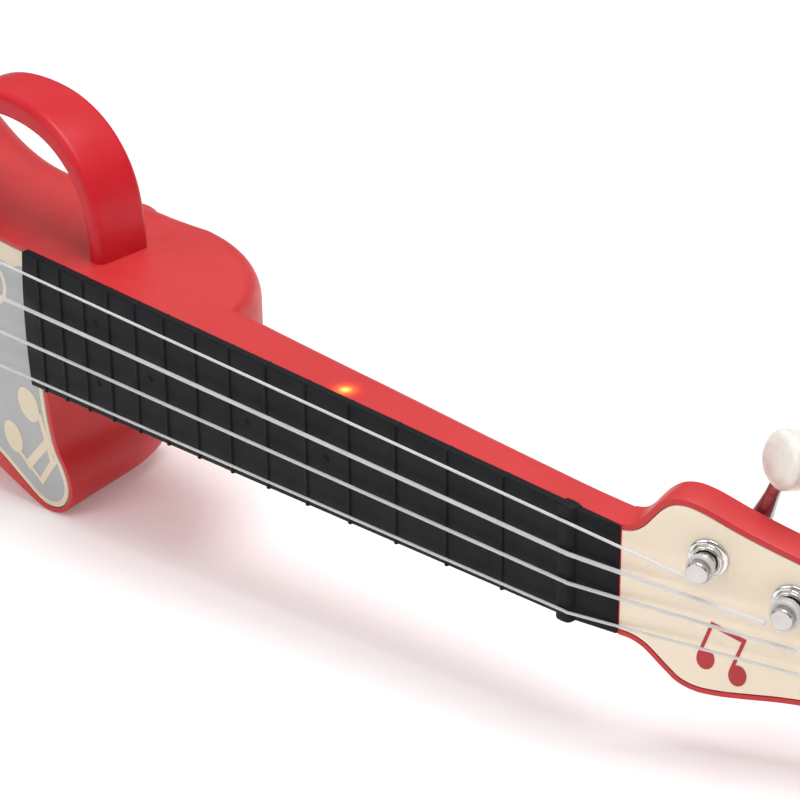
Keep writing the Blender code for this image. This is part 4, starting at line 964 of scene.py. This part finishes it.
# ---------------------------------------------------------------- buttons
def buttons():
    for name, bx, bz in BUTTONS:
        profile = [(0.02, -2.05), (BUTTON_R - 1.8, -2.0), (BUTTON_R - 0.6, -1.75), (BUTTON_R - 0.1, -1.2),
                   (BUTTON_R, -0.6), (BUTTON_R, 3.4), (BUTTON_R + 1.3, 3.4), (BUTTON_R + 1.3, 4.4),
                   (1.8, 4.4), (1.8, 4.9), (0.02, 4.9)]
        finish(lathe(name + "_cap", rounded(profile, 0.3), (bx, 0.0, bz), steps=56), BUTTON,
               (name,), name)
        swings = [math.radians(125.0 + 290.0 * j / 24) for j in range(25)]
        arc = [(bx + r * math.cos(a), bz + r * math.sin(a))
               for r, way in ((2.3, 1), (1.75, -1)) for a in swings[::way]]
        shapes = {"button_power": [bar((bx, bz + 0.2), (bx, bz + 2.6), 0.6), arc],
                  "button_volume_up": [bar((bx - 2, bz), (bx + 2, bz), 0.7),
                                       bar((bx, bz - 2), (bx, bz + 2), 0.7)],
                  "button_volume_down": [bar((bx - 2, bz), (bx + 2, bz), 0.7)],
                  "button_mode": note_shapes(bx - 0.9, bz - 1.8, math.radians(90), 0.2, 0)}[name]
        finish(thin_shape(name + "_sign", shapes, -2.13, -2.02), ICON, body=name)


# ---------------------------------------------------------------- speaker, boards, battery bay
def inside():
    basket = rounded([(SPEAKER_R, 3.2), (SPEAKER_R, 5.2), (24.5, 5.2), (15.0, 13.5), (15.0, 15.0),
                      (18.0, 15.0), (18.0, 23.0), (4.0, 23.0), (4.0, 13.0), (12.6, 13.0),
                      (22.4, 4.6), (25.0, 3.2), (SPEAKER_R, 3.2)], 0.3, 2)
    finish(lathe("speaker_basket", basket[:-1], (SPEAKER_X, 0.0, 0.0), steps=72, hollow=True), BASKET,
           ("speaker_frame",))
    cone = rounded([(0.02, 6.5), (5.0, 7.6), (7.0, 8.6), (21.6, 4.3), (21.6, 4.9), (8.5, 10.4), (8.5, 12.4),
                    (0.02, 12.4)], 0.5, 2)
    finish(lathe("speaker_paper_cone", cone, (SPEAKER_X, 0.0, 0.0), steps=72), PAPER,
           ("speaker_cone",))
    from_cad("main_board", "circuit_main", MASK, 0.15, 1)
    from_cad("led_board", "circuit_lamps", MASK, 0.15, 1)
    from_cad("battery_tray", "cell_tray", TRAY, 0.3, 2)
    disc = rounded([(0.02, 3.2), (10.0, 3.2), (10.0, 3.7), (0.02, 3.7)], 0.1, 2)
    finish(lathe("pickup_disc", disc, (-381.0, 0.0, 0.0), steps=56), BRASS,
           ("bridge_pickup",))
    for k, x in enumerate(CELL_X):
        way = 1 if k % 2 == 0 else -1
        half = CELL_L / 2
        profile = rounded([(0.02, -half), (CELL_R - 0.5, -half), (CELL_R, -half + 0.5), (CELL_R, half - 1.8),
                           (CELL_R - 0.6, half - 1.2), (2.6, half - 1.2), (2.6, half), (0.02, half)], 0.2, 3)
        finish(lathe("cell_jacketed_%d" % (k + 1), profile, (x, CELL_Y, 0.0), (0, 0, way), (1, 0, 0), 48),
               JACKET, ("cell_%d" % (k + 1),))
        end = -1 if k % 2 == 0 else 1
        coil = []
        for j in range(85):
            a = 2 * math.pi * j / 28
            radius = 4.2 - 1.2 * j / 84
            coil.append((x + radius * math.cos(a), CELL_Y + radius * math.sin(a),
                         end * (28.0 - 2.2 * j / 84)))
        finish(tube("contact_coil_%d" % (k + 1), coil, 0.28, 8, up=(0, 0, 1)), NICKEL,
               ("contact_spring_%d" % (k + 1),), angle=60)
    for side in ("bass", "treble"):
        from_cad("contact_strip_" + side, "contact_plate_" + side, NICKEL, 0.1, 2)


def back():
    from_cad("battery_door", "door_panel", PART_RED, 0.3, 3, "door")
    from_cad("door_screw", "door_screw_head", SCREW, 0.12, 2, "door")
    pin = rounded([(0.02, 4.0), (3.0, 4.0), (3.0, -1.6), (5.5, -1.6), (5.5, -3.4), (3.4, -4.6),
                   (3.4, -7.4), (6.4, -9.0), (6.4, -10.6), (5.2, -11.4), (0.02, -11.4)], 0.6)
    finish(lathe("strap_pin", pin, PIN_AT, (1, 0, 0), (0, 1, 0), 56), PART_RED,
           ("end_pin",))


housing()
handle()
plate()
plate_print()
fretboard()
head_face()
head_sign()
bridge()
strings()
for number in range(4):
    tuner(number)
buttons()
inside()
back()


# ---------------------------------------------------------------- floor, light and camera
def white_floor():
    mesh = bpy.data.meshes.new("floor")
    reach = 6.0
    mesh.from_pydata([(-reach, -reach, 0), (reach, -reach, 0), (reach, reach, 0), (-reach, reach, 0)], [],
                     [(0, 1, 2, 3)])
    floor = bpy.data.objects.new("floor", mesh)
    bpy.context.scene.collection.objects.link(floor)
    floor.location.z = -0.0002
    n = Nodes("floor_white")
    n.link(n.ramp(n.noise(3.0), (0.3, (0.90, 0.89, 0.89)), (0.7, (0.93, 0.92, 0.92))),
           n.shader.inputs["Base Color"])
    n.fix(Roughness=0.6, Specular_IOR_Level=0.1, Emission_Strength=0.14)
    mesh.materials.append(n.mat)


def area_light(name, where, aim, size, power):
    data = bpy.data.lights.new(name, "AREA")
    data.shape = "RECTANGLE"
    data.size, data.size_y = size
    data.energy = power
    lamp = bpy.data.objects.new(name, data)
    bpy.context.scene.collection.objects.link(lamp)
    lamp.location = where
    lamp.rotation_mode = "QUATERNION"
    lamp.rotation_quaternion = (Vector(aim) - Vector(where)).to_track_quat("-Z", "Y")


def studio():
    """Soft light, pale above and darker in a band near the floor; the camera sees plain white."""
    white_floor()
    centre = world((-60.0, 0.0, 0.0))
    sky = bpy.data.worlds.new("studio")
    bpy.context.scene.world = sky
    sky.use_nodes = True
    tree = sky.node_tree
    light = tree.nodes["Background"]
    split = tree.nodes.new("ShaderNodeSeparateXYZ")
    ramp = tree.nodes.new("ShaderNodeValToRGB")
    marks = ramp.color_ramp.elements
    marks[0].color = (0.42, 0.42, 0.42, 1.0)
    marks[1].color = (1.0, 1.0, 1.0, 1.0)
    for place, grey in ((0.10, 0.50), (0.20, 0.16), (0.34, 0.18), (0.46, 0.85)):
        marks.new(place).color = (grey, grey, grey, 1.0)
    tree.links.new(tree.nodes.new("ShaderNodeTexCoord").outputs["Generated"], split.inputs["Vector"])
    tree.links.new(split.outputs["Z"], ramp.inputs["Fac"])
    tree.links.new(ramp.outputs["Color"], light.inputs["Color"])
    light.inputs["Strength"].default_value = 0.70
    plain = tree.nodes.new("ShaderNodeBackground")
    plain.inputs["Color"].default_value = (1.0, 1.0, 1.0, 1.0)
    seen = tree.nodes.new("ShaderNodeLightPath").outputs["Is Camera Ray"]
    mix = tree.nodes.new("ShaderNodeMixShader")
    tree.links.new(seen, mix.inputs["Fac"])
    tree.links.new(light.outputs["Background"], mix.inputs[1])
    tree.links.new(plain.outputs["Background"], mix.inputs[2])
    tree.links.new(mix.outputs["Shader"], tree.nodes["World Output"].inputs["Surface"])
    area_light("overhead", centre + Vector((0.25, 0.15, 1.3)), centre, (1.0, 0.8), 15.0)
    area_light("front_fill", centre + Vector((-0.4, -1.4, 0.7)), centre, (1.0, 0.8), 5.0)
    bpy.context.scene.view_settings.view_transform = "Standard"


# camera in the instrument frame: place in mm, and the directions that the picture's right and up take
EYE = (403.68, -485.9, 368.29)
LOOK = (-0.6155, 0.6439, -0.4546)
PICTURE_UP = (-0.3074, 0.3350, 0.8907)
LENS = 125.257


def camera():
    data = bpy.data.cameras.new("camera")
    cam = bpy.data.objects.new("camera", data)
    bpy.context.scene.collection.objects.link(cam)
    spin = TO_WORLD.to_quaternion()
    ahead = (spin @ Vector(LOOK)).normalized()
    right = ahead.cross(spin @ Vector(PICTURE_UP)).normalized()
    cam.matrix_world = Matrix((right, right.cross(ahead), -ahead)).transposed().to_4x4()
    cam.location = world(EYE)
    data.lens = LENS
    data.sensor_width = 36.0
    data.clip_start, data.clip_end = 0.01, 30.0
    bpy.context.scene.camera = cam


studio()
camera()
